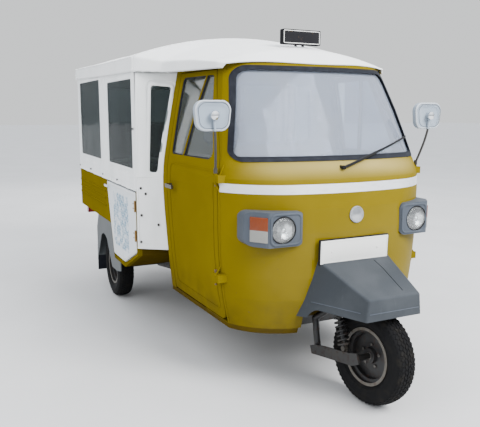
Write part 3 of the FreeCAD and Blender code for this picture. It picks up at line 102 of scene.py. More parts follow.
class Value:
    """One output of a shader node, which takes part in arithmetic as a number does."""

    def __init__(self, graph: "Graph", socket: bpy.types.NodeSocket) -> None:
        """Holds the socket and the graph that it is in."""
        self.graph = graph
        self.socket = socket

    def __add__(self, other: "Value | float") -> "Value":
        """Sum."""
        return self.graph.maths("ADD", self, other)

    def __sub__(self, other: "Value | float") -> "Value":
        """Difference."""
        return self.graph.maths("SUBTRACT", self, other)

    def __rsub__(self, other: float) -> "Value":
        """Difference from a plain number."""
        return self.graph.maths("SUBTRACT", other, self)

    def __mul__(self, other: "Value | float") -> "Value":
        """Product."""
        return self.graph.maths("MULTIPLY", self, other)

    __radd__ = __add__
    __rmul__ = __mul__

    def between(self, low: float, high: float) -> "Value":
        """A smooth rise from 0 to 1; with low above high it is a smooth fall.

        Args:
            low: where it is 0.
            high: where it is 1.

        Returns:
            The rise as a value.
        """
        settings = {"interpolation_type": "SMOOTHSTEP"}
        if low < high:
            return self.graph.make("ShaderNodeMapRange", settings, {0: self, 1: low, 2: high})
        return 1 - self.graph.make("ShaderNodeMapRange", settings, {0: self, 1: high, 2: low})


class Graph:
    """The node tree of a material or the world, with one method that makes any node."""

    def __init__(self, owner: bpy.types.Material | bpy.types.World, shader: str = "Principled BSDF") -> None:
        """Turns the owner's nodes on and holds its shader.

        Args:
            owner: the material or world.
            shader: the name of its shader node.
        """
        self.owner = owner
        owner.use_nodes = True
        self.tree = owner.node_tree
        self.shader = self.tree.nodes[shader]

    def make(self, kind: str, settings: dict, feeds: dict, out: int | str = 0) -> Value:
        """Makes a node.

        Args:
            kind: the node's type.
            settings: its own settings, such as a Math node's operation, which are set first.
            feeds: values or links of its inputs, by index or name.
            out: the output to return.

        Returns:
            The output as a value.
        """
        node = self.tree.nodes.new(kind)
        for key, given in settings.items():
            setattr(node, key, given)
        for key, given in feeds.items():
            self.feed(node.inputs[key], given)
        return Value(self, node.outputs[out])

    def feed(self, socket: bpy.types.NodeSocket, given: "Value | float | Colour") -> None:
        """Links a value to a socket, or sets the socket's own number or colour.

        Args:
            socket: the input.
            given: a value to link, or a number or colour to set.
        """
        if isinstance(given, Value):
            self.tree.links.new(given.socket, socket)
        elif socket.type == "RGBA":
            socket.default_value = (*given, 1)
        else:
            socket.default_value = given

    def maths(self, operation: str, *given: "Value | float") -> Value:
        """Makes a Math node."""
        return self.make("ShaderNodeMath", {"operation": operation}, dict(enumerate(given)))

    def vector(self, operation: str, *given: "Value | Colour", out: int | str = 0) -> Value:
        """Makes a Vector Math node."""
        return self.make("ShaderNodeVectorMath", {"operation": operation}, dict(enumerate(given)), out)

    def mix(self, mask: Value, first: "Value | Colour", second: "Value | Colour") -> Value:
        """Mixes two colours; the second shows where the mask is 1."""
        return self.make("ShaderNodeMix", {"data_type": "RGBA"}, {0: mask, 6: first, 7: second}, 2)

    def place(self, scale: Colour = (1, 1, 1)) -> Value:
        """Object coordinates, stretched by a scale."""
        spot = self.make("ShaderNodeTexCoord", {}, {}, "Object")
        return spot if scale == (1, 1, 1) else self.vector("MULTIPLY", spot, scale)

    def axis(self, letter: str) -> Value:
        """One of the Object coordinates."""
        return self.make("ShaderNodeSeparateXYZ", {}, {0: self.place()}, letter)

    def noise(self, scale: float, detail: float = 3, stretch: Colour = (1, 1, 1)) -> Value:
        """Noise of about 1 / scale metres, from 0 to 1."""
        return self.make("ShaderNodeTexNoise", {}, {"Vector": self.place(stretch), "Scale": scale, "Detail": detail})

    def wave(self, direction: str, at: Value, scale: float) -> Value:
        """Bands across a direction of the coordinates at, from 0 to 1."""
        return self.make("ShaderNodeTexWave", {"bands_direction": direction}, {"Vector": at, "Scale": scale})

    def grain(self, scale: float, feature: str = "F1") -> Value:
        """Distance to the nearest cell of a Voronoi pattern."""
        feeds = {"Vector": self.place(), "Scale": scale}
        return self.make("ShaderNodeTexVoronoi", {"feature": feature}, feeds, "Distance")

    def bump(self, height: Value, distance: float, strength: float) -> Value:
        """Turns a height in 0 to 1, distance metres high, into a normal."""
        return self.make("ShaderNodeBump", {}, {"Strength": strength, "Distance": distance, "Height": height})

    def dress(self, **inputs: "Value | float | Colour") -> bpy.types.Material | bpy.types.World:
        """Feeds the shader.

        Args:
            **inputs: values or links of its inputs, whose names have underscores for spaces.

        Returns:
            The finished material or world.
        """
        for name, given in inputs.items():
            self.feed(self.shader.inputs[name.replace("_", " ")], given)
        return self.owner


class Finish:
    """A finish that builds its material once."""

    made: dict["Finish", bpy.types.Material] = {}

    def material(self) -> bpy.types.Material:
        """Gives the finish's material, built when it is first asked for.

        Returns:
            The material.
        """
        if self not in Finish.made:
            Finish.made[self] = self.build(Graph(bpy.data.materials.new(self.name)))
        return Finish.made[self]

    def build(self, graph: Graph) -> bpy.types.Material:
        """Builds the material in a new graph."""
        raise NotImplementedError(self.name)


@dataclass(frozen=True)
class Paint(Finish):
    """Old gloss paint: orange peel, faded clouds, chips, road dust low down, and a painted sky reflection on the
    upper front.
    """

    name: str = "mustard_paint"
    colour: Colour = (0.138, 0.100, 0.0030)
    faded: Colour = (0.178, 0.132, 0.0085)
    # paler colour that paints the sky's reflection on the upper front
    bleached: Colour = (0.420, 0.340, 0.130)
    dust: Colour = (0.045, 0.033, 0.012)
    rough: float = 0.26
    coat: float = 0.22

    def build(self, graph: Graph) -> bpy.types.Material:
        """Builds the material.

        Args:
            graph: the new material's graph.

        Returns:
            The material.
        """
        height = graph.axis("Z")
        patches = graph.noise(1.9, 4).between(0.40, 0.72)
        clouds = graph.noise(7, 5).between(0.35, 0.7)
        cloudy = graph.mix(patches * 0.30 + clouds * 0.14, self.colour, self.faded)
        front = graph.axis("Y").between(-1.00, -1.16)
        # painted reflection: the upper front is mixed towards the paler sheen colour
        painted_sheen_mask = height.between(1.030, 1.11) * front
        sheened = graph.mix(painted_sheen_mask * (patches * 0.25 + 0.50), cloudy, self.bleached)
        splash = graph.noise(12, 6).between(0.3, 0.75)
        low = height.between(0.60, 0.28) * (splash * 0.45 + 0.12)
        dirty = graph.mix(low, sheened, self.dust)
        chips = graph.noise(75, 3).between(0.70, 0.73) * graph.noise(5, 2).between(0.5, 0.62)
        shown = graph.mix(chips * 0.7, dirty, (0.090, 0.055, 0.025))
        worn = graph.noise(9, 5).between(0.40, 0.75)
        rough = low * 0.35 + worn * 0.10 + self.rough
        peel = graph.bump(graph.noise(26, 2) * 0.8 + graph.noise(240, 2) * 0.2, 0.0004, 0.30)
        return graph.dress(Base_Color=shown, Roughness=rough, Coat_Weight=(1 - low) * front * self.coat,
                           Coat_Roughness=0.06, Specular_IOR_Level=0.0, Normal=peel)


@dataclass(frozen=True)
class FramePaint(Finish):
    """Brushed black paint on chassis and suspension, with rust along the wear and dried mud."""

    name: str = "frame_black"
    colour: Colour = (0.016, 0.016, 0.017)
    rust: Colour = (0.110, 0.042, 0.016)
    mud: Colour = (0.120, 0.095, 0.060)
    worn: float = 0.35

    def build(self, graph: Graph) -> bpy.types.Material:
        """Builds the material.

        Args:
            graph: the new material's graph.

        Returns:
            The material.
        """
        rust = graph.noise(38, 7).between(0.60 - self.worn * 0.18, 0.72)
        mud = graph.noise(11, 5).between(0.5, 0.8) * graph.axis("Z").between(0.65, 0.2)
        colour = graph.mix(mud * 0.55, graph.mix(rust * self.worn, self.colour, self.rust), self.mud)
        height = graph.noise(160, 4) * 0.5 + rust * 0.5
        return graph.dress(Base_Color=colour, Roughness=rust * 0.35 + mud * 0.2 + 0.42,
                           Normal=graph.bump(height, 0.0006, 0.5))


@dataclass(frozen=True)
class Metal(Finish):
    """Bare or plated metal with fine scratches, haze and spots of tarnish."""

    name: str = "chrome_plate"
    colour: Colour = (0.82, 0.83, 0.84)
    tarnish: Colour = (0.20, 0.17, 0.12)
    rough: float = 0.10
    spots: float = 0.15

    def build(self, graph: Graph) -> bpy.types.Material:
        """Builds the material.

        Args:
            graph: the new material's graph.

        Returns:
            The material.
        """
        spots = graph.noise(85, 5).between(0.62, 0.74) * self.spots
        haze = graph.noise(24, 4).between(0.35, 0.8)
        scratches = graph.noise(700, 2, (1, 0.12, 1))
        colour = graph.mix(spots, self.colour, self.tarnish)
        return graph.dress(Base_Color=colour, Metallic=1 - spots, Roughness=haze * 0.14 + spots * 0.5 + self.rough,
                           Normal=graph.bump(scratches, 0.00005, 0.3))


@dataclass(frozen=True)
class Plastic(Finish):
    """Grained moulded plastic, chalky where the sun has reached it; below a height it may have a second colour."""

    name: str = "grey_moulding"
    colour: Colour = (0.060, 0.070, 0.086)
    chalk: Colour = (0.105, 0.118, 0.138)
    rough: float = 0.44
    grain: float = 900
    below: Colour | None = None
    parting: float = 0.0

    def build(self, graph: Graph) -> bpy.types.Material:
        """Builds the material.

        Args:
            graph: the new material's graph.

        Returns:
            The material.
        """
        chalk = graph.noise(6, 5).between(0.4, 0.75)
        scuffs = graph.noise(48, 4, (1, 1, 0.3)).between(0.62, 0.72)
        colour = graph.mix(chalk * 0.4 + scuffs * 0.2, self.colour, self.chalk)
        if self.below:
            colour = graph.mix(graph.axis("Z").between(self.parting + 0.001, self.parting), colour, self.below)
        return graph.dress(Base_Color=colour, Roughness=chalk * 0.1 + scuffs * 0.12 + self.rough,
                           Specular_IOR_Level=0.12, Normal=graph.bump(graph.grain(self.grain), 0.00018, 0.5))


@dataclass(frozen=True)
class Rubber(Finish):
    """Matt rubber seal with a bloom of dust."""

    name: str = "seal_black"
    colour: Colour = (0.009, 0.010, 0.014)
    bloom: Colour = (0.030, 0.033, 0.042)
    rough: float = 0.46

    def build(self, graph: Graph) -> bpy.types.Material:
        """Builds the material.

        Args:
            graph: the new material's graph.

        Returns:
            The material.
        """
        bloom = graph.noise(30, 5).between(0.4, 0.8)
        colour = graph.mix(bloom * 0.5, self.colour, self.bloom)
        return graph.dress(Base_Color=colour, Roughness=bloom * 0.15 + self.rough, Specular_IOR_Level=0.15,
                           Normal=graph.bump(graph.noise(500, 3), 0.0002, 0.4))


@dataclass(frozen=True)
class TyreRubber(Finish):
    """Tyre compound, browner and duller where it has run on earth."""

    name: str = "tyre_black"
    colour: Colour = (0.007, 0.007, 0.0075)
    earth: Colour = (0.026, 0.023, 0.018)

    def build(self, graph: Graph) -> bpy.types.Material:
        """Builds the material.

        Args:
            graph: the new material's graph.

        Returns:
            The material.
        """
        earth = graph.noise(26, 6).between(0.45, 0.85)
        scuff = graph.noise(140, 4).between(0.45, 0.75)
        colour = graph.mix(earth * 0.55 + scuff * 0.1, self.colour, self.earth)
        return graph.dress(Base_Color=colour, Roughness=earth * 0.15 + 0.66, Specular_IOR_Level=0.08,
                           Normal=graph.bump(graph.noise(420, 4), 0.0004, 0.5))


@dataclass(frozen=True)
class RimPaint(Finish):
    """A dark painted wheel disc inside a pale rim flange, told apart by the distance from the hub."""

    hub: tuple[float, float, float]
    name: str = "rim_two_tone"
    disc: Colour = (0.010, 0.010, 0.011)
    flange: Colour = (0.080, 0.071, 0.058)
    rust: Colour = (0.045, 0.022, 0.011)
    reach: float = 0.1295

    def build(self, graph: Graph) -> bpy.types.Material:
        """Builds the material.

        Args:
            graph: the new material's graph.

        Returns:
            The material.
        """
        away = graph.vector("DISTANCE", graph.place(), self.hub, out="Value")
        edge = away.between(self.reach - 0.0015, self.reach)
        rust = graph.noise(46, 6).between(0.52, 0.7)
        dust = graph.noise(12, 4).between(0.35, 0.8)
        disc = graph.mix(dust * 0.35, self.disc, (0.040, 0.035, 0.028))
        colour = graph.mix(rust * 0.45, graph.mix(edge, disc, self.flange), self.rust)
        return graph.dress(Base_Color=colour, Roughness=rust * 0.25 + 0.42,
                           Normal=graph.bump(graph.noise(240, 4), 0.0003, 0.4))


@dataclass(frozen=True)
class Canvas(Finish):
    """White coated cloth: weave, soft creases, and grey-green weather stains."""

    name: str = "white_canvas"
    colour: Colour = (0.84, 0.85, 0.85)
    stain: Colour = (0.56, 0.60, 0.57)
    soiling: float = 0.28
    thread: float = 1250

    def build(self, graph: Graph) -> bpy.types.Material:
        """Builds the material.

        Args:
            graph: the new material's graph.

        Returns:
            The material.
        """
        cloth = graph.make("ShaderNodeUVMap", {"uv_map": "cloth"}, {})
        warp = graph.wave("X", cloth, self.thread / WAVE_BAND)
        weft = graph.wave("Y", cloth, self.thread / WAVE_BAND)
        runs = graph.noise(7, 6, (1, 1, 0.22)).between(0.42, 0.8)
        blotch = graph.noise(3.2, 5).between(0.45, 0.75)
        colour = graph.mix((runs * 0.55 + blotch * 0.45) * self.soiling, self.colour, self.stain)
        creases = graph.noise(11, 4, (1, 1, 0.5)) * 0.7 + graph.noise(46, 3) * 0.12
        height = creases + (warp + weft) * 0.006
        return graph.dress(Base_Color=colour, Roughness=blotch * 0.1 + 0.62, Sheen_Weight=0.15,
                           Normal=graph.bump(height, 0.010, 0.55))


@dataclass(frozen=True)
class ClearFilm(Finish):
    """Smoky flexible window film with shallow ripples."""

    name: str = "clear_film"
    colour: Colour = (0.200, 0.232, 0.230)
    rough: float = 0.05

    def build(self, graph: Graph) -> bpy.types.Material:
        """Builds the material.

        Args:
            graph: the new material's graph.

        Returns:
            The material.
        """
        haze = graph.noise(5, 4, (1, 1, 0.3)).between(0.4, 0.8)
        ripple = graph.noise(4.5, 2, (1, 1, 0.5))
        colour = graph.mix(haze * 0.3, self.colour, (0.36, 0.39, 0.38))
        return graph.dress(Base_Color=colour, Transmission_Weight=0.93, IOR=1.07,
                           Roughness=haze * 0.10 + self.rough, Normal=graph.bump(ripple, 0.012, 0.45))


@dataclass(frozen=True)
class WindowGlass(Finish):
    """Flat vehicle glass with a wiped film of dust; a lower clearness shows the dust that the sky lights up."""

    name: str = "window_pane"
    colour: Colour = (0.72, 0.78, 0.77)
    clear: float = 0.95

    def build(self, graph: Graph) -> bpy.types.Material:
        """Builds the material.

        Args:
            graph: the new material's graph.

        Returns:
            The material.
        """
        dust = graph.noise(3.2, 5, (1.6, 1, 0.5)).between(0.35, 0.80)
        smear = graph.noise(26, 4, (1, 1, 0.25)).between(0.45, 0.8)
        film = graph.mix(dust * 0.35 + smear * 0.08, self.colour, (0.60, 0.63, 0.69))
        return graph.dress(Base_Color=film, Transmission_Weight=self.clear, IOR=1.48, Roughness=dust * 0.05 + 0.02,
                           Normal=graph.bump(graph.noise(3, 2), 0.001, 0.2))


@dataclass(frozen=True)
class Lens(Finish):
    """A moulded lens with upright ribs; above a height it may have a second colour."""

    name: str
    colour: Colour
    above: Colour | None = None
    parting: float = 0.0
    ribs: float = 900
    clear: float = 0.35
    coat: float = 0.6

    def build(self, graph: Graph) -> bpy.types.Material:
        """Builds the material.

        Args:
            graph: the new material's graph.

        Returns:
            The material.
        """
        ribs = graph.wave("DIAGONAL", graph.place((1, 1, 0)), self.ribs / WAVE_BAND)
        rows = graph.wave("Z", graph.place(), 60)
        second = self.above or self.colour
        upper = graph.axis("Z").between(self.parting - 0.001, self.parting)
        colour = graph.mix(upper, self.colour, second)
        return graph.dress(Base_Color=colour, Transmission_Weight=self.clear, IOR=1.49, Roughness=rows * 0.04 + 0.10,
                           Coat_Weight=self.coat, Normal=graph.bump(ribs * 0.6 + rows * 0.4, 0.0008, 0.6))


@dataclass(frozen=True)
class Leather(Finish):
    """Grained seat vinyl with worn shine."""

    name: str = "seat_vinyl"
    colour: Colour = (0.030, 0.030, 0.034)
    worn: Colour = (0.075, 0.072, 0.070)

    def build(self, graph: Graph) -> bpy.types.Material:
        """Builds the material.

        Args:
            graph: the new material's graph.

        Returns:
            The material.
        """
        wear = graph.noise(7, 5).between(0.45, 0.8)
        cells = graph.grain(430, "DISTANCE_TO_EDGE").between(0.0, 0.25)
        colour = graph.mix(wear * 0.5, self.colour, self.worn)
        return graph.dress(Base_Color=colour, Roughness=0.52 - wear * 0.14, Normal=graph.bump(cells, 0.0005, 0.6))


@dataclass(frozen=True)
class Board(Finish):
    """The white door board, with a plain lattice of pale blue lozenges in its middle."""

    name: str = "board_white"
    colour: Colour = (0.66, 0.70, 0.73)
    pattern: Colour = (0.045, 0.200, 0.340)
    middle: tuple[float, float] = (0.31, 0.640)
    half: tuple[float, float] = (0.19, 0.185)
    cells: float = 14

    def build(self, graph: Graph) -> bpy.types.Material:
        """Builds the material.

        Args:
            graph: the new material's graph.

        Returns:
            The material.
        """
        across = graph.axis("Y") - self.middle[0]
        up = graph.axis("Z") - self.middle[1]
        first = graph.maths("PINGPONG", (across + up) * self.cells, 0.5)
        second = graph.maths("PINGPONG", (across - up) * self.cells, 0.5)
        lines = graph.maths("MAXIMUM", first.between(0.31, 0.36), second.between(0.31, 0.36))
        dots = graph.maths("MULTIPLY", first, second).between(0.030, 0.012)
        inside = graph.maths("ABSOLUTE", across).between(self.half[0], self.half[0] - 0.012)
        inside = inside * graph.maths("ABSOLUTE", up).between(self.half[1], self.half[1] - 0.012)
        worn = graph.noise(24, 6).between(0.36, 0.56)
        mask = graph.maths("MAXIMUM", lines, dots) * inside * worn
        grime = graph.noise(9, 6, (1, 1, 0.4)).between(0.5, 0.8)
        base = graph.mix(grime * 0.35, self.colour, (0.45, 0.46, 0.42))
        return graph.dress(Base_Color=graph.mix(mask * 0.9, base, self.pattern), Roughness=grime * 0.15 + 0.34,
                           Specular_IOR_Level=0.25, Normal=graph.bump(graph.noise(260, 3), 0.0002, 0.3))


@dataclass(frozen=True)
class SilverFoil(Finish):
    """Aged silver foil of the nose stripe, scored and lifting at places."""

    name: str = "silver_foil"
    colour: Colour = (0.82, 0.84, 0.88)

    def build(self, graph: Graph) -> bpy.types.Material:
        """Builds the material.

        Args:
            graph: the new material's graph.

        Returns:
            The material.
        """
        scores = graph.noise(60, 6, (0.3, 1, 1)).between(0.5, 0.75)
        colour = graph.mix(scores * 0.30, self.colour, (0.48, 0.50, 0.53))
        return graph.dress(Base_Color=colour, Metallic=0.5, Roughness=scores * 0.15 + 0.28,
                           Normal=graph.bump(graph.noise(90, 4), 0.0003, 0.4))


# Meshes


class Shape:
    """A mesh being modelled, with the operators that this scene uses."""

    def __init__(self) -> None:
        """Starts an empty mesh."""
        self.bm = bmesh.new()

    def bevelled(self, width: float, segments: int = 2) -> "Shape":
        """Bevels the sharp edges.

        Args:
            width: the bevel's width; nothing is done for 0.
            segments: steps in each bevel.

        Returns:
            This shape.
        """
        self.bm.normal_update()
        edges = [e for e in self.bm.edges if len(e.link_faces) == 2 and e.calc_face_angle() > SHARP_EDGE]
        if width and edges:
            bmesh.ops.bevel(self.bm, geom=edges, offset=width, segments=segments, profile=0.5, affect="EDGES",
                            material=-1)
        return self

    def moved(self, matrix: Matrix) -> "Shape":
        """Transforms every vertex."""
        bmesh.ops.transform(self.bm, matrix=matrix, verts=self.bm.verts)
        return self

    def squeezed(self, axis: Vector, about: Point, share: float) -> "Shape":
        """Scales the mesh along one axis.

        Args:
            axis: the direction.
            about: the point that stays.
            share: the scale.

        Returns:
            This shape.
        """
        there = Matrix.Translation(about)
        return self.moved(there @ Matrix.Scale(share, 4, axis) @ there.inverted())

    def displaced(self, shift: Callable[[Vector], Vector]) -> "Shape":
        """Moves each vertex by its own shift.

        Args:
            shift: gives the shift for a vertex's place.

        Returns:
            This shape.
        """
        for vertex in self.bm.verts:
            vertex.co += shift(vertex.co)
        return self

    def plus(self, *others: "Shape") -> "Shape":
        """Takes other shapes' meshes in.

        Args:
            *others: the shapes.

        Returns:
            This shape.
        """
        for other in others:
            mesh = bpy.data.meshes.new("joined")
            other.bm.to_mesh(mesh)
            self.bm.from_mesh(mesh)
            bpy.data.meshes.remove(mesh)
        return self

    def tidied(self) -> "Shape":
        """Merges doubles and points all faces outwards.

        Returns:
            This shape.
        """
        bmesh.ops.remove_doubles(self.bm, verts=self.bm.verts, dist=1e-6)
        bmesh.ops.recalc_face_normals(self.bm, faces=self.bm.faces)
        return self

    @classmethod
    def block(cls, middle: Point, size: Point, bevel: float = 0.0, segments: int = 2) -> "Shape":
        """Makes a block.

        Args:
            middle: its middle.
            size: its three sizes.
            bevel: the width of the bevel on its edges.
            segments: steps in each bevel.

        Returns:
            The block.
        """
        shape = cls()
        bmesh.ops.create_cube(shape.bm, size=1)
        shape.moved(Matrix.Translation(middle) @ Matrix.Diagonal((*size, 1)))
        return shape.bevelled(bevel, segments)

    @classmethod
    def rod(cls, start: Point, end: Point, radius: float, bevel: float = 0.0, taper: float = 1.0,
            segments: int = 24) -> "Shape":
        """Makes a round bar.

        Args:
            start: the middle of its first end.
            end: the middle of its other end.
            radius: its radius at the first end.
            bevel: the width of the bevel on its edges.
            taper: the radius at the other end, as a share of the first.
            segments: its sides.

        Returns:
            The bar.
        """
        shape = cls()
        run = Vector(end) - Vector(start)
        bmesh.ops.create_cone(shape.bm, cap_ends=True, segments=segments, radius1=radius, radius2=radius * taper,
                              depth=run.length)
        turn = run.to_track_quat("Z", "Y").to_matrix().to_4x4()
        shape.moved(Matrix.Translation((Vector(start) + Vector(end)) / 2) @ turn)
        return shape.bevelled(bevel)

    @classmethod
    def lathe(cls, profile: Outline, steps: int = 64, closed: bool = True) -> "Shape":
        """Spins a profile about the X axis.

        Args:
            profile: its points, as places along X and radii.
            steps: steps of the spin.
            closed: whether the last point joins the first.

        Returns:
            The turned shape.
        """
        shape = cls()
        verts = [shape.bm.verts.new((along, 0, radius)) for along, radius in profile]
        pairs = list(zip(verts, verts[1:])) + ([(verts[-1], verts[0])] if closed else [])
        edges = [shape.bm.edges.new(pair) for pair in pairs]
        bmesh.ops.spin(shape.bm, geom=verts + edges, axis=X, cent=(0, 0, 0), angle=math.tau, steps=steps,
                       use_merge=True, use_duplicate=False)
        return shape.tidied()

    @classmethod
    def pipe(cls, points: list[Point], radius: float, closed: bool = False, sides: int = 3) -> "Shape":
        """Makes a round bead.

        Args:
            points: the corners of its middle line.
            radius: its radius.
            closed: whether it runs back to its start.
            sides: how round its section is.

        Returns:
            The bead.
        """
        curve = bpy.data.curves.new("bead", "CURVE")
        curve.dimensions = "3D"
        curve.bevel_depth = radius
        curve.bevel_resolution = sides
        curve.use_fill_caps = True
        spline = curve.splines.new("POLY")
        spline.points.add(len(points) - 1)
        for spot, point in zip(spline.points, points):
            spot.co = (*point, 1)
        spline.use_cyclic_u = closed
        holder = bpy.data.objects.new("bead", curve)
        mesh = bpy.data.meshes.new_from_object(holder)
        shape = cls()
        shape.bm.from_mesh(mesh)
        bpy.data.meshes.remove(mesh)
        bpy.data.objects.remove(holder)
        bpy.data.curves.remove(curve)
        return shape.tidied()

    @classmethod
    def cloth(cls, columns: list[float], rows: list[float], place: Callable[[float, float], Vector]) -> "Shape":
        """Makes a grid of cloth, whose UV map holds lengths along it in metres.

        Args:
            columns: the lengths across it at which its lines run.
            rows: the lengths up it at which its lines run.
            place: gives the place of a point from its two lengths.

        Returns:
            The cloth.
        """
        shape = cls()
        bmesh.ops.create_grid(shape.bm, x_segments=len(columns) - 1, y_segments=len(rows) - 1, size=0.5)
        layer = shape.bm.loops.layers.uv.new("cloth")
        for face in shape.bm.faces:
            for loop in face.loops:
                u = columns[round((loop.vert.co.x + 0.5) * (len(columns) - 1))]
                v = rows[round((loop.vert.co.y + 0.5) * (len(rows) - 1))]
                loop[layer].uv = (u, v)
        spots = {loop.vert: loop[layer].uv.copy() for face in shape.bm.faces for loop in face.loops}
        for vertex, spot in spots.items():
            vertex.co = place(spot.x, spot.y)
        return shape

    def piece(self, name: str, finish: Finish, body: str, slot: Slot, replaces: tuple[str, ...] = (),
              wall: float = 0.0, smooth: float = 0.6) -> bpy.types.Object:
        """Makes the finished piece.

        Args:
            name: the piece's name.
            finish: what it is made of.
            body: the CAD body that it rides on.
            slot: not used.
            replaces: CAD nodes that it stands for.
            wall: thickness for a mesh that is still a surface.
            smooth: the angle in radians past which an edge stays sharp.

        Returns:
            The object.
        """
        mesh = bpy.data.meshes.new(name)
        self.bm.normal_update()
        for edge in self.bm.edges:
            edge.smooth = len(edge.link_faces) != 2 or edge.calc_face_angle(0) < smooth
        for face in self.bm.faces:
            face.smooth = True
        self.bm.to_mesh(mesh)
        self.bm.free()
        thing = bpy.data.objects.new(name, mesh)
        bpy.context.scene.collection.objects.link(thing)
        mesh.materials.append(finish.material())
        if wall:
            solidify = thing.modifiers.new("Wall", "SOLIDIFY")
            solidify.thickness = wall
            solidify.offset = 0
        if replaces:
            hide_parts(*replaces)
        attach(thing, body)
        LOG.info("%s: %d faces on %s", name, len(mesh.polygons), body)
        return thing


def joined(shapes: list[Shape]) -> Shape:
    """Joins shapes into the first."""
    return shapes[0].plus(*shapes[1:])


def dressed(finish: Finish, *nodes: str) -> None:
    """Gives carried-over CAD nodes their finish.

    Args:
        finish: the finish.
        *nodes: the nodes' names.
    """
    for name in nodes:
        slots = frame["nodes"][name].data.materials
        slots.clear()
        slots.append(finish.material())


def node_copy(*names: str) -> Shape:
    """Copies CAD nodes into one merged mesh.

    Args:
        *names: the nodes' names.

    Returns:
        The copy.
    """
    shape = Shape()
    for name in names:
        shape.bm.from_mesh(frame["nodes"][name].data)
    bmesh.ops.remove_doubles(shape.bm, verts=shape.bm.verts, dist=2e-6)
    return shape


class Surface:
    """A CAD node's skin, on which small pieces are set."""

    def __init__(self, name: str) -> None:
        """Builds the search tree of a node's mesh.

        Args:
            name: the node's name.
        """
        mesh = frame["nodes"][name].data
        corners = [v.co.copy() for v in mesh.vertices]
        self.tree = BVHTree.FromPolygons(corners, [tuple(p.vertices) for p in mesh.polygons])

    def meet(self, origin: Point, way: Point) -> tuple[Vector, Vector]:
        """Finds where a ray meets the skin.

        Args:
            origin: the ray's start.
            way: its direction.

        Returns:
            The place, and the normal there, turned towards the ray's start.
        """
        spot, normal, _, _ = self.tree.ray_cast(Vector(origin), Vector(way).normalized())
        if spot is None:
            raise ValueError(f"no surface from {tuple(origin)} along {tuple(way)}")
        return spot, normal if normal.dot(Vector(way)) < 0 else -normal


def set_on(spot: Vector, normal: Vector) -> Matrix:
    """Makes a placement on a surface.

    Args:
        spot: its origin.
        normal: its X axis.

    Returns:
        The placement; its Z axis is as upright as may be.
    """
    side = Z.cross(normal).normalized()
    rise = normal.cross(side)
    turn = Matrix((normal, side, rise)).transposed().to_4x4()
    return Matrix.Translation(spot) @ turn


def steps_between(low: float, high: float, pace: float) -> list[float]:
    """Evenly spaced numbers from low to high, about a pace apart."""
    count = max(1, round((high - low) / pace))
    return [low + (high - low) * i / count for i in range(count + 1)]


def box_line(left: float, below: float, right: float, above: float) -> Outline:
    """The corners of an upright rectangle, counter-clockwise."""
    return [(left, below), (right, below), (right, above), (left, above)]


def table_at(table: Sequence[tuple[float, ...]], place: float) -> list[float]:
    """Reads a table, straight between its rows.

    Args:
        table: rows, in the order of their first number.
        place: the first number to read at.

    Returns:
        The other numbers there.
    """
    if place <= table[0][0]:
        return list(table[0][1:])
    for low, high in zip(table, table[1:]):
        if place <= high[0]:
            share = (place - low[0]) / (high[0] - low[0])
            return [a + (b - a) * share for a, b in zip(low[1:], high[1:])]
    return list(table[-1][1:])


# Finishes of this vehicle


MUSTARD = Paint()
CREAM = Paint(name="sign_white", colour=(0.72, 0.72, 0.70), faded=(0.6, 0.6, 0.56), dust=(0.2, 0.18, 0.15),
              rough=0.35, coat=0.1)
SIGN_BLACK = Paint(name="sign_black", colour=(0.012, 0.012, 0.014), faded=(0.03, 0.03, 0.03),
                   dust=(0.02, 0.02, 0.02), rough=0.32, coat=0.3)
BOARD_EDGE = Paint(name="board_frame", colour=(0.72, 0.74, 0.75), faded=(0.6, 0.6, 0.58), dust=(0.3, 0.27, 0.2),
                   rough=0.4, coat=0.1)
# A darker copy of the mustard paint: painted shade on the floors and the wheel well.
SHADED_MUSTARD = Paint(name="underside_paint", colour=(0.070, 0.046, 0.004), faded=(0.090, 0.062, 0.010),
              dust=(0.030, 0.022, 0.010), rough=0.5, coat=0.0)
CAST = FramePaint(name="engine_casting", colour=(0.06, 0.06, 0.063), rust=(0.06, 0.033, 0.02), worn=0.5)
BLACK = FramePaint(colour=(0.009, 0.009, 0.0095), rust=(0.060, 0.024, 0.010), mud=(0.060, 0.048, 0.032))
GREASY = FramePaint(name="greasy_steel", colour=(0.008, 0.0075, 0.007), rust=(0.030, 0.015, 0.008), worn=0.5,
                    mud=(0.040, 0.032, 0.022))
HINGE = FramePaint(name="rusty_hinge", colour=(0.075, 0.045, 0.018), rust=(0.150, 0.060, 0.020), worn=0.8)
UNDER_STEEL = Metal(name="worn_steel", colour=(0.16, 0.15, 0.14), tarnish=(0.06, 0.03, 0.02), rough=0.38,
                    spots=0.75)
CHROME = Metal()
DULL_CHROME = Metal(name="handle_plate", colour=(0.13, 0.12, 0.11), tarnish=(0.07, 0.05, 0.04), rough=0.28,
                    spots=0.5)
BRASS = Metal(name="hinge_brass", colour=(0.30, 0.19, 0.07), tarnish=(0.13, 0.05, 0.02), rough=0.36, spots=0.8)
ALLOY = Metal(name="badge_alloy", colour=(0.55, 0.56, 0.58), tarnish=(0.3, 0.3, 0.3), rough=0.30, spots=0.2)
GREY = Plastic()
GUARD = Plastic(name="mudguard_moulding", colour=(0.036, 0.041, 0.047), chalk=(0.072, 0.079, 0.087))
PALE_GREY = Plastic(name="fender_moulding", colour=(0.090, 0.098, 0.102), chalk=(0.140, 0.148, 0.150))
MIRROR_SHELL = Plastic(name="mirror_moulding", colour=(0.27, 0.32, 0.38), chalk=(0.34, 0.38, 0.42), rough=0.28,
                       below=(0.045, 0.043, 0.040), parting=1.262)
MIRROR_LINE = Plastic(name="mirror_edge", colour=(0.42, 0.46, 0.50), chalk=(0.50, 0.53, 0.56), rough=0.3)
DARK = Plastic(name="dark_moulding", colour=(0.010, 0.010, 0.011), chalk=(0.03, 0.03, 0.03), rough=0.42)
SEAL = Rubber()
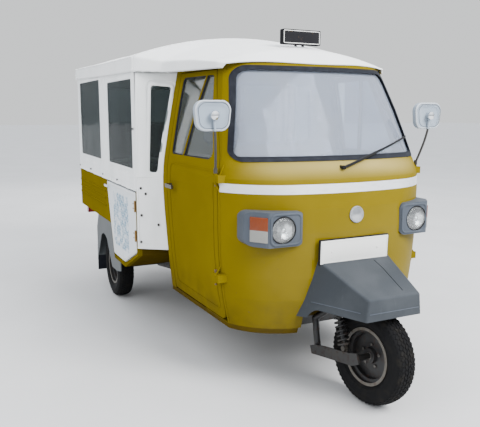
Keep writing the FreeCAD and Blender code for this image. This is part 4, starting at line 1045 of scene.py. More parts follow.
TREAD = TyreRubber()
CLOTH = Canvas()
WORN_CLOTH = Canvas(name="curtain_canvas", soiling=0.45)
FILM = ClearFilm()
PANE = WindowGlass(colour=(0.54, 0.59, 0.59))
# The windscreen's bluish, less clear film is dust and also a painted reflection of the sky.
SCREEN = WindowGlass(name="screen_pane", colour=(0.49, 0.55, 0.67), clear=0.74)
VINYL = Leather()
AMBER = Lens("amber_and_clear", (0.24, 0.24, 0.22), above=(0.17, 0.028, 0.0004), parting=0.824, ribs=1500,
             clear=0.1, coat=0.06)
RED = Lens("red_lens", (0.21, 0.0040, 0.0035), clear=0.1)
HEAD_GLASS = Lens("headlamp_glass", (0.95, 0.97, 0.97), ribs=260, clear=0.96)
FOIL = SilverFoil()
BOARD = Board()
MIRROR_FACE = Metal(name="mirror_face", colour=(0.86, 0.88, 0.90), rough=0.03, spots=0.02)

NODE_FINISHES: dict[Finish, tuple[str, ...]] = {
    MUSTARD: ("cab_nose", "cab_upper_frame", "cab_rear_wall", "cab_roof", "cab_door_left", "cab_door_right",
              "bed_side_left", "bed_side_right", "tailgate", "seat_bases"),
    # painted shade: the floors and the wheel well take the darker copy of the mustard
    SHADED_MUSTARD: ("cab_floor", "bed_floor", "wheel_well"),
    BLACK: ("steering_head", "front_fork", "steering_column", "handlebar", "front_damper", "chassis_frame",
            "rear_suspension", "canopy_frame"),
    UNDER_STEEL: ("exhaust",),
    GREASY: ("front_link", "drive_shafts"),
    CAST: ("engine",),
    DULL_CHROME: ("door_handle_left", "door_handle_right"),
    BRASS: ("side_door_hinges",),
    GREY: ("headlamp_housings",),
    GUARD: ("front_mudguard",),
    PALE_GREY: ("rear_fenders",),
    MIRROR_SHELL: ("mirrors",),
    MIRROR_FACE: ("mirror_glasses",),
    DARK: ("dashboard", "wiper"),
    SEAL: ("windscreen_seal", "mudflaps"),
    FILM: ("canopy_windows",),
    PANE: ("cab_rear_glass", "cab_door_left_glass", "cab_door_right_glass"),
    SCREEN: ("windscreen",),
    RED: ("tail_lamps",),
    SIGN_BLACK: ("roof_sign",),
    BOARD: ("side_door",),
}


# The cab


@dataclass
class Cab:
    """Trim on the painted cab: stripe, seam beads, gaskets, a round disc and a blank plate."""

    stripe_low: float = 0.979
    stripe_high: float = 1.021
    stripe_proud: float = 0.0006
    nose_middle_y: float = -0.45
    seam_y: float = -0.9565
    seam_radius: float = 0.0038
    seam_heights: tuple[float, float] = (0.335, 1.105)
    pin_heights: tuple[float, float] = (0.562, 1.040)
    gasket: float = 0.0075
    badge_radius: float = 0.040
    badge_height: float = 0.874
    plate_size: tuple[float, float] = (0.385, 0.110)
    plate_height: float = 0.709
    plate_across: float = -0.012

    def make(self) -> None:
        """Builds the cab's trim."""
        self.nose = Surface("cab_nose")
        self.stripe()
        self.seams()
        self.gaskets()
        self.badge()
        self.plate()

    def stripe(self) -> None:
        """Cuts a foil stripe from the nose's own outer skin, without the hinges on it, and lifts it off."""
        shape = node_copy("cab_nose")
        for height, sign in ((self.stripe_low, -1), (self.stripe_high, 1)):
            geometry = shape.bm.verts[:] + shape.bm.edges[:] + shape.bm.faces[:]
            bmesh.ops.bisect_plane(shape.bm, geom=geometry, plane_co=(0, 0, height), plane_no=(0, 0, sign),
                                   clear_outer=True)
        shape.bm.normal_update()
        middle = Vector((0, self.nose_middle_y, 0))
        hidden = [f for f in shape.bm.faces
                  if abs(f.normal.z) > 0.7 or f.normal.dot((f.calc_center_median() - middle).normalized()) < 0.3
                  or f.calc_center_median().y > self.seam_y + 0.002 or abs(f.calc_center_median().x) > 0.6]
        bmesh.ops.delete(shape.bm, geom=hidden, context="FACES")
        bmesh.ops.delete(shape.bm, geom=[f for f in shape.bm.faces if self.on_hinge(f)], context="FACES")
        bmesh.ops.solidify(shape.bm, geom=shape.bm.faces[:], thickness=-self.stripe_proud)
        shape.displaced(lambda co: Vector((co.x, co.y - middle.y, 0)).normalized() * self.stripe_proud * 0.5)
        shape.piece("nose_stripe", FOIL, "chassis", Slot.PAINT)

    def on_hinge(self, face: bmesh.types.BMFace) -> bool:
        """Tells whether a face of the stripe stands off the skin, as a hinge's does.

        Args:
            face: the face.

        Returns:
            True for a hinge's face.
        """
        spot = face.calc_center_median()
        if spot.y < self.seam_y - 0.05:
            return False
        side = math.copysign(1, spot.x)
        skin = self.nose.meet((side * 1.2, spot.y, self.stripe_low - 0.012), (-side, 0, 0))[0]
        return abs(spot.x) > abs(skin.x) + 0.0025

    def seams(self) -> None:
        """Lays the folded seam beside each door, and sets the rusty pins in the door's hinges."""
        axes = {joint["child"]: Vector(joint["pos_m"]) for joint in frame["joints"]}
        for side in Side:
            points = []
            for height in steps_between(*self.seam_heights, 0.04):
                spot, normal = self.nose.meet((side.value * 1.2, self.seam_y, height), (-side.value, 0, 0))
                points.append(spot + normal * 0.002)
            bead = Shape.pipe(points, self.seam_radius, sides=2)
            bead.piece(f"door_seam_{side.word}", MUSTARD, "chassis", Slot.PAINT)
        for side in Side:
            axis = axes[f"cab_door_{side.word}"]
            pins = Shape()
            for height in self.pin_heights:
                foot = Vector((axis.x, axis.y, height))
                pins.plus(Shape.rod(foot - Z * 0.036, foot + Z * 0.036, 0.0052, 0.001, segments=12))
                pins.plus(Shape.rod(foot + Z * 0.034, foot + Z * 0.040, 0.0085, 0.0015, segments=12))
            pins.piece(f"door_pins_{side.word}", HINGE, "chassis", Slot.STEEL)

    def gaskets(self) -> None:
        """Lays rubber channels round the panes of the doors and the rear window."""
        panes = [(f"door_gasket_{side.word}", f"cab_door_{side.word}_glass", f"cab_door_{side.word}", X * side.value,
                  self.gasket) for side in Side]
        panes.append(("rear_window_gasket", "cab_rear_glass", "chassis", Y, self.gasket + 0.002))
        for name, glass, body, outward, radius in panes:
            beads = [Shape.pipe(loop, radius, closed=True, sides=2) for loop in pane_rims(glass, outward)]
            joined(beads).piece(name, SEAL, body, Slot.RUBBER)

    def badge(self) -> None:
        """Sets a plain round disc with a stepped rim on the nose."""
        spot, normal = self.nose.meet((0, -3, self.badge_height), Y)
        r = self.badge_radius
        profile = [(-0.003, 0), (-0.003, r), (0.004, r), (0.0055, r - 0.002), (0.0055, r - 0.006),
                   (0.0035, r - 0.008), (0.0035, r * 0.45), (0.005, r * 0.38), (0.0055, 0)]
        disc = Shape.lathe(profile, 48, closed=False).moved(set_on(spot, normal))
        disc.piece("nose_disc", ALLOY, "chassis", Slot.CHROME)

    def plate(self) -> None:
        """Sets a blank plate with a pressed border on a dark carrier."""
        spot, normal = self.nose.meet((self.plate_across, -3, self.plate_height), Y)
        stand = set_on(spot + normal * 0.006, normal)
        wide, high = self.plate_size
        carrier = Shape.block((0, 0, 0), (0.012, wide + 0.010, high + 0.010), 0.003)
        carrier.plus(*[Shape.block((-0.014, w, 0), (0.020, 0.03, 0.05), 0.002) for w in (-0.15, 0.15)])
        carrier.moved(stand).piece("plate_carrier", DARK, "chassis", Slot.DARK)
        sheet = Shape.block((0.0075, 0, 0), (0.003, wide, high), 0.0012)
        half_wide, half_high = wide / 2 - 0.006, high / 2 - 0.006
        corners = rounded(box_line(-half_wide, -half_high, half_wide, half_high), 0.010, 5)
        border = Shape.pipe([(0.009, u, v) for u, v in corners], 0.0016, closed=True, sides=1)
        screws = [Shape.rod((0.008, w, 0), (0.0115, w, 0), 0.005, 0.001, segments=12) for w in (-0.13, 0.13)]
        sheet.plus(border, *screws).moved(stand).piece("plate_blank", CREAM, "chassis", Slot.BOARD)


def pane_rims(name: str, outward: Vector) -> list[list[Vector]]:
    """Finds the outline of each pane of a glass node.

    Args:
        name: the node's name.
        outward: the direction that its outer side faces.

    Returns:
        The outlines, on the outer side.
    """
    shape = node_copy(name)
    shape.bm.normal_update()
    chains: dict[bmesh.types.BMVert, list[bmesh.types.BMVert]] = {}
    for edge in shape.bm.edges:
        if len(edge.link_faces) != 2 or edge.calc_face_angle(0) < 0.9:
            continue
        if max(face.normal.dot(outward) for face in edge.link_faces) < 0.55:
            continue
        first, second = edge.verts
        chains.setdefault(first, []).append(second)
        chains.setdefault(second, []).append(first)
    loops = []
    while chains:
        start = next(iter(chains))
        loop, here = [start], start
        while here in chains:
            onward = [v for v in chains.pop(here) if v in chains]
            if not onward:
                break
            here = onward[0]
            loop.append(here)
        if len(loop) > 3:
            loops.append(thinned([v.co.copy() for v in loop], 0.004))
    shape.bm.free()
    return loops


def thinned(points: list[Vector], least: float) -> list[Vector]:
    """Drops points that lie too near the one before.

    Args:
        points: the points in order.
        least: the least distance to keep.

    Returns:
        The points that are left.
    """
    kept = [points[0]]
    for point in points[1:]:
        if (point - kept[-1]).length >= least:
            kept.append(point)
    return kept


def rounded(corners: Outline, radius: float, steps: int = 4) -> Outline:
    """Rounds the corners of a convex outline.

    Args:
        corners: the outline, counter-clockwise.
        radius: the radius at each corner.
        steps: straight pieces in each rounding.

    Returns:
        The rounded outline.
    """
    line = []
    count = len(corners)
    for i, corner in enumerate(corners):
        here = Vector(corner)
        before = (Vector(corners[i - 1]) - here).normalized()
        after = (Vector(corners[(i + 1) % count]) - here).normalized()
        half = before.angle(after) / 2
        middle = here + (before + after).normalized() * (radius / math.sin(half))
        start = (here + before * (radius / math.tan(half))) - middle
        turn = math.pi - 2 * half
        for step in range(steps + 1):
            line.append(tuple(middle + Matrix.Rotation(turn * step / steps, 2) @ start))
    return line


def distance_to(spot: tuple[float, float], line: Outline) -> float:
    """Measures how far a spot is from a convex outline.

    Args:
        spot: the spot.
        line: the outline, counter-clockwise.

    Returns:
        The distance, negative inside.
    """
    nearest, inside = 1e9, True
    for start, end in zip(line, line[1:] + line[:1]):
        ex, ey = end[0] - start[0], end[1] - start[1]
        px, py = spot[0] - start[0], spot[1] - start[1]
        if ex * py - ey * px < 0:
            inside = False
        share = min(max((px * ex + py * ey) / (ex * ex + ey * ey + 1e-15), 0), 1)
        nearest = min(nearest, math.hypot(px - ex * share, py - ey * share))
    return -nearest if inside else nearest


# Lamps


@dataclass
class Lamps:
    """Headlamps with a bowl, a bulb shield and a ribbed glass in a dark ring, and rounded indicators."""

    across: float = 0.383
    height: float = 0.824
    radius: float = 0.064
    bezel: tuple[float, float, float, float] = (-0.090, 0.062, -0.067, 0.072)

    def make(self) -> None:
        """Builds the headlamps, the bezels round them, and the indicators."""
        self.headlamps()
        self.bezels()
        lenses = node_copy("indicators").bevelled(0.0035, 3)
        lenses.piece("indicator_lenses", AMBER, "chassis", Slot.GLASS, ("indicators",))

    def bezels(self) -> None:
        """Lays a raised moulding round each headlamp, on its housing's face."""
        skin = Surface("headlamp_housings")
        left, right, below, above = self.bezel
        line = rounded(box_line(left, below, right, above), 0.024, 6)
        rims = []
        for side in Side:
            run = [skin.meet((side.value * (self.across + u), -2, self.height + v), Y)[0] for u, v in line]
            middle = sum(run, Vector()) / len(run)
            rims.append(Shape.pipe(run, 0.0062, closed=True, sides=3).squeezed(Y, middle, 0.75))
        joined(rims).piece("headlamp_bezels", GREY, "chassis", Slot.PLASTIC)

    def headlamps(self) -> None:
        """Builds both headlamps as one piece of each material."""
        low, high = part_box("headlamps")
        depth = high.y - low.y
        half, glass = depth * 0.45, 0.0016
        r = self.radius
        bowl = [(0.0008, 0), (0.0011, r * 0.20), (0.0024, r * 0.42), (0.0046, r * 0.64), (0.0074, r * 0.84),
                (half, r - 0.0015), (half, r), (0.0002, r), (0.0002, 0)]
        dome = [(half, r - 0.0005), (depth * 0.56, r - 0.001), (depth * 0.76, r * 0.72), (depth * 0.92, r * 0.38),
                (depth, 0), (depth - glass, 0), (depth * 0.92 - glass, r * 0.37), (depth * 0.76 - glass, r * 0.70),
                (depth * 0.50, r - 0.004), (half, r - 0.003)]
        ring = [(depth * 0.40, r - 0.0045), (depth * 0.40, r + 0.0002), (depth * 0.66, r + 0.0002),
                (depth * 0.74, r - 0.0012), (depth * 0.74, r - 0.0045)]
        bulb = [(0.001, 0), (0.001, 0.010), (0.006, 0.012), (0.009, 0.010), (0.0105, 0.006), (0.0110, 0)]
        places = [set_on(Vector((side.value * self.across, high.y, self.height)), -Y) for side in Side]
        for name, profile, closed, finish, slot, replaces in (
                ("headlamp_glasses", dome, False, HEAD_GLASS, Slot.GLASS, ("headlamps",)),
                ("headlamp_bowls", bowl, False, CHROME, Slot.CHROME, ()),
                ("headlamp_shields", bulb, False, CHROME, Slot.CHROME, ()),
                ("headlamp_rings", ring, True, DARK, Slot.DARK, ())):
            both = [Shape.lathe(profile, 56, closed).moved(place) for place in places]
            joined(both).piece(name, finish, "chassis", slot, replaces)


# Wheels


@dataclass
class Wheel:
    """A road tyre with a zigzag tread, and the nuts on its rim."""

    name: str
    body: str
    hub: Vector
    axis: Vector
    radius: float = 0.228
    pitches: int = 58
    tread_half: float = 0.0422
    crown_drop: float = 0.0072
    block_depth: float = 0.0080
    block_slant: float = 0.42
    rib: tuple[float, float] = (0.0465, 0.2128)

    def make(self) -> None:
        """Builds the tyre and the wheel nuts."""
        side = self.axis.normalized()
        forward = Z.cross(side).normalized()
        turn = Matrix((side, forward, side.cross(forward))).transposed().to_4x4()
        place = Matrix.Translation(self.hub) @ turn
        self.tyre().moved(place).piece(f"{self.name}_tread_tyre", TREAD, self.body, Slot.TYRE,
                                       (f"{self.name}_tyre",), smooth=0.7)
        self.nuts().moved(place).piece(f"{self.name}_nuts", UNDER_STEEL, self.body, Slot.STEEL)

    def tyre(self) -> Shape:
        """Makes the carcass with raised rings on its walls, and rows of staggered, slanting tread blocks.

        Returns:
            The tyre, about the X axis.
        """
        half = [(0.0405, 0.1265), (0.0405, 0.1365), (0.0440, 0.1400), (0.0500, 0.1500), (0.0510, 0.1516),
                (0.0522, 0.1514), (0.0540, 0.1620), (0.0560, 0.1740), (0.0568, 0.1790), (0.0562, 0.1880),
                (0.0552, 0.1892), (0.0542, 0.1978), (0.0518, 0.2070), (0.0470, 0.2142), (0.0400, 0.2190),
                (0.0250, 0.2226), (0.0100, 0.2238)]
        profile = half + [(-along, up) for along, up in reversed(half)]
        tyre = Shape.lathe(profile, 96)
        step = math.tau / self.pitches
        # each row: place across, width, length as a share of the pitch, and how far round it starts
        rows = [(0.0000, 0.0120, 0.80, 0.0), (0.0155, 0.0125, 0.78, 0.5), (-0.0155, 0.0125, 0.78, 0.5),
                (0.0312, 0.0130, 0.78, 0.0), (-0.0312, 0.0130, 0.78, 0.0)]
        rib_across, rib_up = self.rib
        for number in range(self.pitches):
            for along, wide, share, late in rows:
                top = self.radius - self.crown_drop * (along / self.tread_half) ** 2 - 0.0004
                low = top - self.block_depth
                long = top * step * share
                lump = Shape.block((along, 0, (low + top) / 2), (wide, long, top - low), 0.0012, 1)
                skew = Matrix.Rotation(self.block_slant if late else -self.block_slant, 4, "Z")
                tilt = Matrix.Rotation(along * 6.5, 4, "Y")
                centre = Matrix.Translation((along, 0, low))
                lean = centre @ skew @ tilt @ centre.inverted()
                tyre.plus(lump.moved(Matrix.Rotation((number + late) * step, 4, "X") @ lean))
            for way in (1, -1):
                spot = (way * rib_across, 0, rib_up)
                rib = Shape.block(spot, (0.0060, self.radius * step * 0.50, 0.0080), 0.0012, 1)
                centre = Matrix.Translation(spot)
                lean = centre @ Matrix.Rotation(way * 0.75, 4, "Y") @ centre.inverted()
                tyre.plus(rib.moved(Matrix.Rotation((number + 0.5) * step, 4, "X") @ lean))
        return tyre

    def nuts(self) -> Shape:
        """Makes five nuts round a hub cap, and the tyre valve.

        Returns:
            The nuts, cap and valve, about the X axis.
        """
        shape = Shape.rod((-0.023, 0, 0), (0.027, 0, 0), 0.0175, 0.003, segments=20)
        for number in range(5):
            turn = Matrix.Rotation(number * math.tau / 5, 4, "X")
            shape.plus(Shape.rod((-0.012, 0, 0.052), (0.014, 0, 0.052), 0.0085, 0.0015, segments=6).moved(turn))
        shape.plus(Shape.rod((0.004, 0, 0.098), (0.030, 0, 0.104), 0.0035, segments=10))
        return shape


def wheels() -> list[Wheel]:
    """Places the three wheels by their joints.

    Returns:
        The wheels.
    """
    joints = {joint["child"]: joint for joint in frame["joints"]}
    made = []
    for name, body in (("front", "front_wheel"), ("rear_left", "rear_wheel_left"),
                       ("rear_right", "rear_wheel_right")):
        joint = joints[body]
        way = Vector(joint["axis"]) * (-1 if body == "rear_wheel_right" else 1)
        made.append(Wheel(name, body, Vector(joint["pos_m"]), way))
    return made


# The canopy

ROOF_ROWS = [
    # place along Y, half width, eave, shoulder, crown
    (-0.885, 0.452, 1.566, 1.570, 1.586),
    (-0.840, 0.475, 1.563, 1.576, 1.616),
    (-0.765, 0.520, 1.561, 1.590, 1.668),
    (-0.485, 0.555, 1.565, 1.618, 1.737),
    (-0.215, 0.610, 1.568, 1.626, 1.769),
    (-0.073, 0.745, 1.574, 1.662, 1.792),
    (0.7635, 0.745, 1.587, 1.672, 1.792),
    (1.515, 0.745, 1.604, 1.688, 1.767),
    (1.615, 0.745, 1.606, 1.686, 1.742),
]


@dataclass
class Curtain:
    """One hanging cloth: its size, its place and its windows, all in lengths along it and up it."""

    name: str
    wide: float
    low: float
    high: float
    place: Callable[[float, float], Vector]
    outward: Vector
    windows: list[tuple[Outline, float]]  # corners, and the radius at each
    pleats: tuple[float, ...] = ()
    seams: tuple[tuple[float, ...], ...] = ()  # height, start, margin at the end, radius, share of it that stands out
    ripple: float = 0.010
    seed: float = 0.0
    arch: Callable[[float], float] | None = None
    replaces: tuple[str, ...] = ()


@dataclass
class Canopy:
    """The canopy: one roof cloth, curtains with clear windows, their seams, and turn buttons."""

    cloth: float = 0.0022
    lip: float = -0.878
    lip_rise: float = 0.083
    far_tuck: float = 0.070
    rear: float = 1.612
    front: float = -0.073
    fold: float = 0.90
    sag_depth: float = 0.007
    bows: tuple[float, ...] = (-0.060, 0.708, 1.583)
    roof_width: float = 1.66
    roof_flat: tuple[float, float] = (1.80, 2.52)
    roof_area: float = 4.02
    hem_bead: float = 0.0042
    curtain_x: float = 0.7337
    curtain_end: float = 1.600
    rear_y: float = 1.598
    rear_half: float = 0.730
    arch_half: float = 0.739
    strip_wide: float = 0.26
    strip_low: float = 0.541
    strip_high: float = 1.572
    hem: float = 0.886
    top: float = 1.650
    cell: float = 0.0115
    window_radius: float = 0.016

    def make(self) -> None:
        """Builds the roof, the curtains and what is sewn to them."""
        self.wall = Surface("cab_rear_wall")
        self.roof()
        for curtain in self.curtains():
            self.hang(curtain)
        self.buttons()

    def along(self, across: float, y: float) -> float:
        """Bends the front edge round the windscreen: the corners start further back."""
        share = min(max((y - self.lip) / 0.30, 0), 1)
        return y + self.lip_rise * across * across * (1 - share) ** 2

    def roof_spot(self, across: float, y: float) -> Vector:
        """Finds a place on the roof cloth.

        Args:
            across: the share across, -1 to 1 from eave to eave.
            y: the place along Y on the middle line.

        Returns:
            The place.
        """
        y = self.along(across, y)
        half, eave, shoulder, crown = table_at(ROOF_ROWS, y)
        half -= 0.003
        if across > 0:
            half *= 1 - self.far_tuck * min(max((-0.45 - y) / 0.35, 0), 1)
        if abs(across) > self.fold:
            drop = (abs(across) - self.fold) / (1 - self.fold)
            x = math.copysign(half - 0.003 * (1 - drop), across)
            return Vector((x, y, shoulder + (eave - shoulder) * drop))
        rise = crown - shoulder
        chord = half - 0.003
        radius = (chord * chord + rise * rise) / (2 * rise)
        angle = math.asin(chord / radius) * across / self.fold
        sag = self.sag(y) * (1 - (across / self.fold) ** 2)
        return Vector((radius * math.sin(angle), y, crown - radius * (1 - math.cos(angle)) - sag))

    def sag(self, y: float) -> float:
        """Finds how far the cloth hangs between the bows under it.

        Args:
            y: the place along Y.

        Returns:
            The depth.
        """
        for low, high in zip((-0.84, *self.bows), self.bows):
            if low <= y <= high:
                return self.sag_depth * math.sin(math.pi * (y - low) / (high - low)) ** 2
        return 0.0

    def roof(self) -> None:
        """Builds the roof cloth with a hem bead all round, and the welded seams over the bows."""
        half = self.roof_width / 2
        columns = [c * half for c in steps_between(-1, 1, 0.0125)]
        rows = steps_between(self.lip, self.rear, 0.014)
        shape = Shape.cloth(columns, rows, lambda u, v: self.roof_spot(u / half, v))
        for _ in range(2):
            inner = [v for v in shape.bm.verts if not v.is_boundary]
            bmesh.ops.smooth_vert(shape.bm, verts=inner, factor=0.5, use_axis_x=True, use_axis_y=True,
                                  use_axis_z=True)
        shape.displaced(self.wrinkle)
        roof = shape.piece("canopy_roof_cloth", CLOTH, "chassis", Slot.CANVAS, ("canopy_roof",), wall=self.cloth,
                           smooth=1.2)
        across = steps_between(-1, 1, 0.02)
        edge = [self.roof_spot(-1, y) for y in steps_between(self.rear, self.lip, 0.02)]
        edge += [self.roof_spot(c, self.lip) for c in across]
        edge += [self.roof_spot(1, y) for y in steps_between(self.lip, self.rear, 0.02)]
        hem = Shape.pipe(thinned(edge, 0.006), self.hem_bead, sides=2)
        hem.plus(Shape.pipe([self.roof_spot(c, self.rear) for c in across], self.hem_bead, sides=2))
        for y in (-0.073, 0.700):
            run = [self.roof_spot(c, y) + Z * 0.0012 for c in steps_between(-0.99, 0.99, 0.02)]
            hem.plus(Shape.pipe(run, 0.0022, sides=1))
        for share in (-0.905, 0.905):
            run = [self.roof_spot(share, y) for y in steps_between(-0.05, self.rear, 0.02)]
            hem.plus(Shape.pipe(run, 0.0036, sides=2))
        hem_piece = hem.piece("canopy_roof_hem", CLOTH, "chassis", Slot.CANVAS)

    @staticmethod
    def wrinkle(spot: Vector) -> Vector:
        """Makes small pulls in the roof cloth, stronger near the eaves and at the corner by the cab.

        Args:
            spot: a vertex's place.

        Returns:
            Its shift.
        """
        edge = max(0.0, abs(spot.x) - 0.45) / 0.3
        corner = math.exp(-((spot.y + 0.10) / 0.16) ** 2) * min(edge, 1)
        wave = math.sin(spot.y * 34 + spot.x * 9) * 0.0010 * min(edge, 1)
        pull = math.sin((abs(spot.x) * 1.7 + spot.y) * 52) * 0.0022 * corner
        return Vector((0, 0, wave + pull))

    def curtains(self) -> list[Curtain]:
        """Lists the two side curtains, the strip on each side between bed and cab, and the rear curtain.

        Returns:
            The curtains.
        """
        long = self.curtain_end - self.front
        panes = [(box_line(0.053, 1.010, 0.648, 1.540), self.window_radius),
                 (box_line(0.883, 1.010, long - 0.095, 1.572), self.window_radius)]
        found = []
        for side in Side:
            x = side.value * self.curtain_x
            found.append(Curtain(
                f"side_curtain_{side.word}", long, self.hem, self.top,
                lambda u, v, x=x: Vector((x, self.front + u, v)), X * side.value, panes, pleats=(0.026, 0.735, 0.800),
                seams=((0.962, 0.030, 0.01, 0.0022, 0.7), (0.985, 0.030, 0.01, 0.0022, 0.7)), seed=side.value * 3.1,
                replaces=("canopy_curtains",) if side is Side.LEFT else ()))
            found.append(self.strip(side))
        half = self.rear_half
        pane = (box_line(half - 0.520, 1.010, half + 0.520, 1.540), self.window_radius)
        found.append(Curtain(
            "rear_curtain", half * 2, self.hem, self.arch_at(0), lambda u, v: Vector((u - half, self.rear_y, v)), Y,
            [pane], seed=9.0, arch=lambda u: self.arch_at(u - half)))
        return found

    def arch_at(self, x: float) -> float:
        """Finds how high the rear curtain reaches, just under the roof cloth.

        Args:
            x: the place across.

        Returns:
            The height.
        """
        _, _, shoulder, crown = table_at(ROOF_ROWS, self.rear_y)
        return crown - (crown - shoulder) * (x / self.arch_half) ** 2 - 0.008

    def strip(self, side: Side) -> Curtain:
        """Lays out the front strip, which slants from the bed's corner to the cab's rear corner.

        Args:
            side: the side that it is on.

        Returns:
            The strip.
        """
        outer_y, inner_y = -0.0758, -0.2022
        heights = [self.strip_low + i * 0.0515 for i in range(21)]
        inner = [(z, self.wall.meet((1.5, -0.225, z), -X)[0].x - 0.015) for z in heights]

        def ends(z: float) -> tuple[Vector, Vector]:
            """Finds the strip's ends.

            Args:
                z: the height.

            Returns:
                The outer and the inner end.
            """
            outside = 0.7342 - max(z - 1.350, 0) * 0.03
            inside = table_at(inner, z)[0]
            return Vector((side.value * outside, outer_y, z)), Vector((side.value * inside, inner_y, z))

        def place(u: float, v: float) -> Vector:
            """A place on the strip from its two lengths."""
            start, end = ends(v)
            return start.lerp(end, u / self.strip_wide)

        window = []
        for x, z in ((0.672, 1.000), (0.632, 1.000), (0.542, 1.490), (0.648, 1.500)):
            start, end = ends(z)
            window.append((self.strip_wide * (abs(start.x) - x) / (abs(start.x) - abs(end.x)), z))
        outward = Vector((side.value * 0.45, -0.89, 0)).normalized()
        return Curtain(f"front_curtain_{side.word}", self.strip_wide, self.strip_low, self.strip_high, place, outward,
                       [(window, 0.022)], pleats=(0.012,), seams=((0.972, 0.004, 0.004, 0.0030, 0.6),), ripple=0.004,
                       seed=side.value * 5.7)

    def windowed(self, shape: Shape, lines: list[Outline]) -> None:
        """Cuts windows out of a flat cloth, whose nearest vertices are first drawn to their rims.

        Args:
            shape: the cloth, in its own lengths.
            lines: the windows' outlines.
        """
        near = 0.72 * self.cell
        for vertex in shape.bm.verts:
            for line in lines:
                u, v = vertex.co.xy
                gap = distance_to((u, v), line)
                if abs(gap) < near:
                    slope = [distance_to(beside, line) - gap for beside in ((u + 1e-5, v), (u, v + 1e-5))]
                    vertex.co -= Vector((*slope, 0)).normalized() * gap
        inside = [f for f in shape.bm.faces
                  if any(distance_to(f.calc_center_median().xy[:], line) < -1e-4 for line in lines)]
        bmesh.ops.delete(shape.bm, geom=inside, context="FACES")
        bmesh.ops.dissolve_degenerate(shape.bm, dist=1e-5, edges=shape.bm.edges)

    def hang(self, curtain: Curtain) -> None:
        """Builds one curtain: cloth with its windows cut out, borders round them, pleats and hems.

        Args:
            curtain: the curtain.
        """
        lines = [rounded(corners, radius) for corners, radius in curtain.windows]
        columns = steps_between(0, curtain.wide, self.cell)
        rows = steps_between(curtain.low, curtain.high, self.cell)
        shape = Shape.cloth(columns, rows, lambda u, v: Vector((u, v, 0)))
        self.windowed(shape, lines)
        if curtain.arch:
            low = max(v for corners, _ in curtain.windows for _, v in corners) + 0.02
            for vertex in shape.bm.verts:
                u, v, _ = vertex.co
                if v > low:
                    vertex.co.y = low + (v - low) * (curtain.arch(u) - low) / (curtain.high - low)
        layer = shape.bm.loops.layers.uv["cloth"]
        for face in shape.bm.faces:
            for loop in face.loops:
                loop[layer].uv = loop.vert.co.xy
        area = sum(face.calc_area() for face in shape.bm.faces)

        def hung(u: float, v: float) -> Vector:
            """A place on the hanging cloth from its two lengths."""
            gap = min(distance_to((u, v), line) for line in lines)
            return curtain.place(u, v) + curtain.outward * self.ripple(curtain, u, v, gap)

        for vertex in shape.bm.verts:
            vertex.co = hung(vertex.co.x, vertex.co.y)
        cloth = shape.piece(curtain.name, WORN_CLOTH, "chassis", Slot.CANVAS, curtain.replaces, wall=self.cloth,
                            smooth=1.2)
        trim = self.trim(curtain, hung)
        size = (curtain.wide, curtain.high - curtain.low)

    def ripple(self, curtain: Curtain, u: float, v: float, gap: float) -> float:
        """Finds how far the cloth stands out in folds, which grow towards the hem.

        Args:
            curtain: the curtain.
            u: the length along it.
            v: the length up it.
            gap: the distance to the nearest window, near which the folds die out.

        Returns:
            The distance.
        """
        down = min(max((1.50 - v) / 0.5, 0), 1)
        still = min(max(gap / 0.05, 0), 1) ** 2
        edge = min(u, curtain.wide - u, 0.05) / 0.05
        s = curtain.seed
        wave = 0.5 + 0.30 * math.sin(u * 21 + s + math.sin(v * 5 + s)) + 0.20 * math.sin(u * 47 - v * 7 + 2 * s)
        return curtain.ripple * wave * down * still * (0.25 + 0.75 * edge)

    def trim(self, curtain: Curtain, hung: Callable[[float, float], Vector]) -> bpy.types.Object:
        """Sews the borders of a curtain's windows, its pleats, its hem and its seams.

        Args:
            curtain: the curtain.
            hung: gives a place on the hanging cloth from its two lengths.

        Returns:
            The piece.
        """
        out = curtain.outward

        def bead(spots: Outline, radius: float, flat: float, lift: float, closed: bool = False) -> Shape:
            """Makes a flattened bead that lies on the cloth.

            Args:
                spots: its corners, in the cloth's two lengths.
                radius: its radius.
                flat: the share of it that stands out.
                lift: how far its middle lies off the cloth.
                closed: whether it runs back to its start.

            Returns:
                The bead.
            """
            points = [hung(u, v) + out * lift for u, v in spots]
            middle = sum(points, Vector()) / len(points)
            return Shape.pipe(points, radius, closed=closed, sides=2).squeezed(out, middle, flat)

        def level(height: float, start: float, margin: float) -> Outline:
            """A level line across the cloth."""
            return [(u, height) for u in steps_between(start, curtain.wide - margin, 0.02)]

        shapes = []
        for corners, _ in curtain.windows:
            wider = rounded(grown(corners, 0.007), 0.022, 5)
            shapes.append(bead(wider, 0.0095, 0.42, 0.0012, closed=True))
            outer = rounded(grown(corners, 0.028), 0.030, 5)
            shapes.append(bead(outer, 0.0026, 0.8, 0.0014, closed=True))
        for u in curtain.pleats:
            run = [(u, v) for v in steps_between(curtain.low + 0.004, curtain.high - 0.06, 0.03)]
            shapes.append(bead(run, 0.0070, 0.6, 0.0012))
        for rise, radius in ((0.003, 0.0062), (0.036, 0.0020)):
            shapes.append(bead(level(curtain.low + rise, 0.002, 0.002), radius, 0.75, 0.0010))
        for height, start, margin, radius, flat in curtain.seams:
            shapes.append(bead(level(height, start, margin), radius, flat, 0.0012))
        return joined(shapes).piece(f"{curtain.name}_seams", WORN_CLOTH, "chassis", Slot.CANVAS)

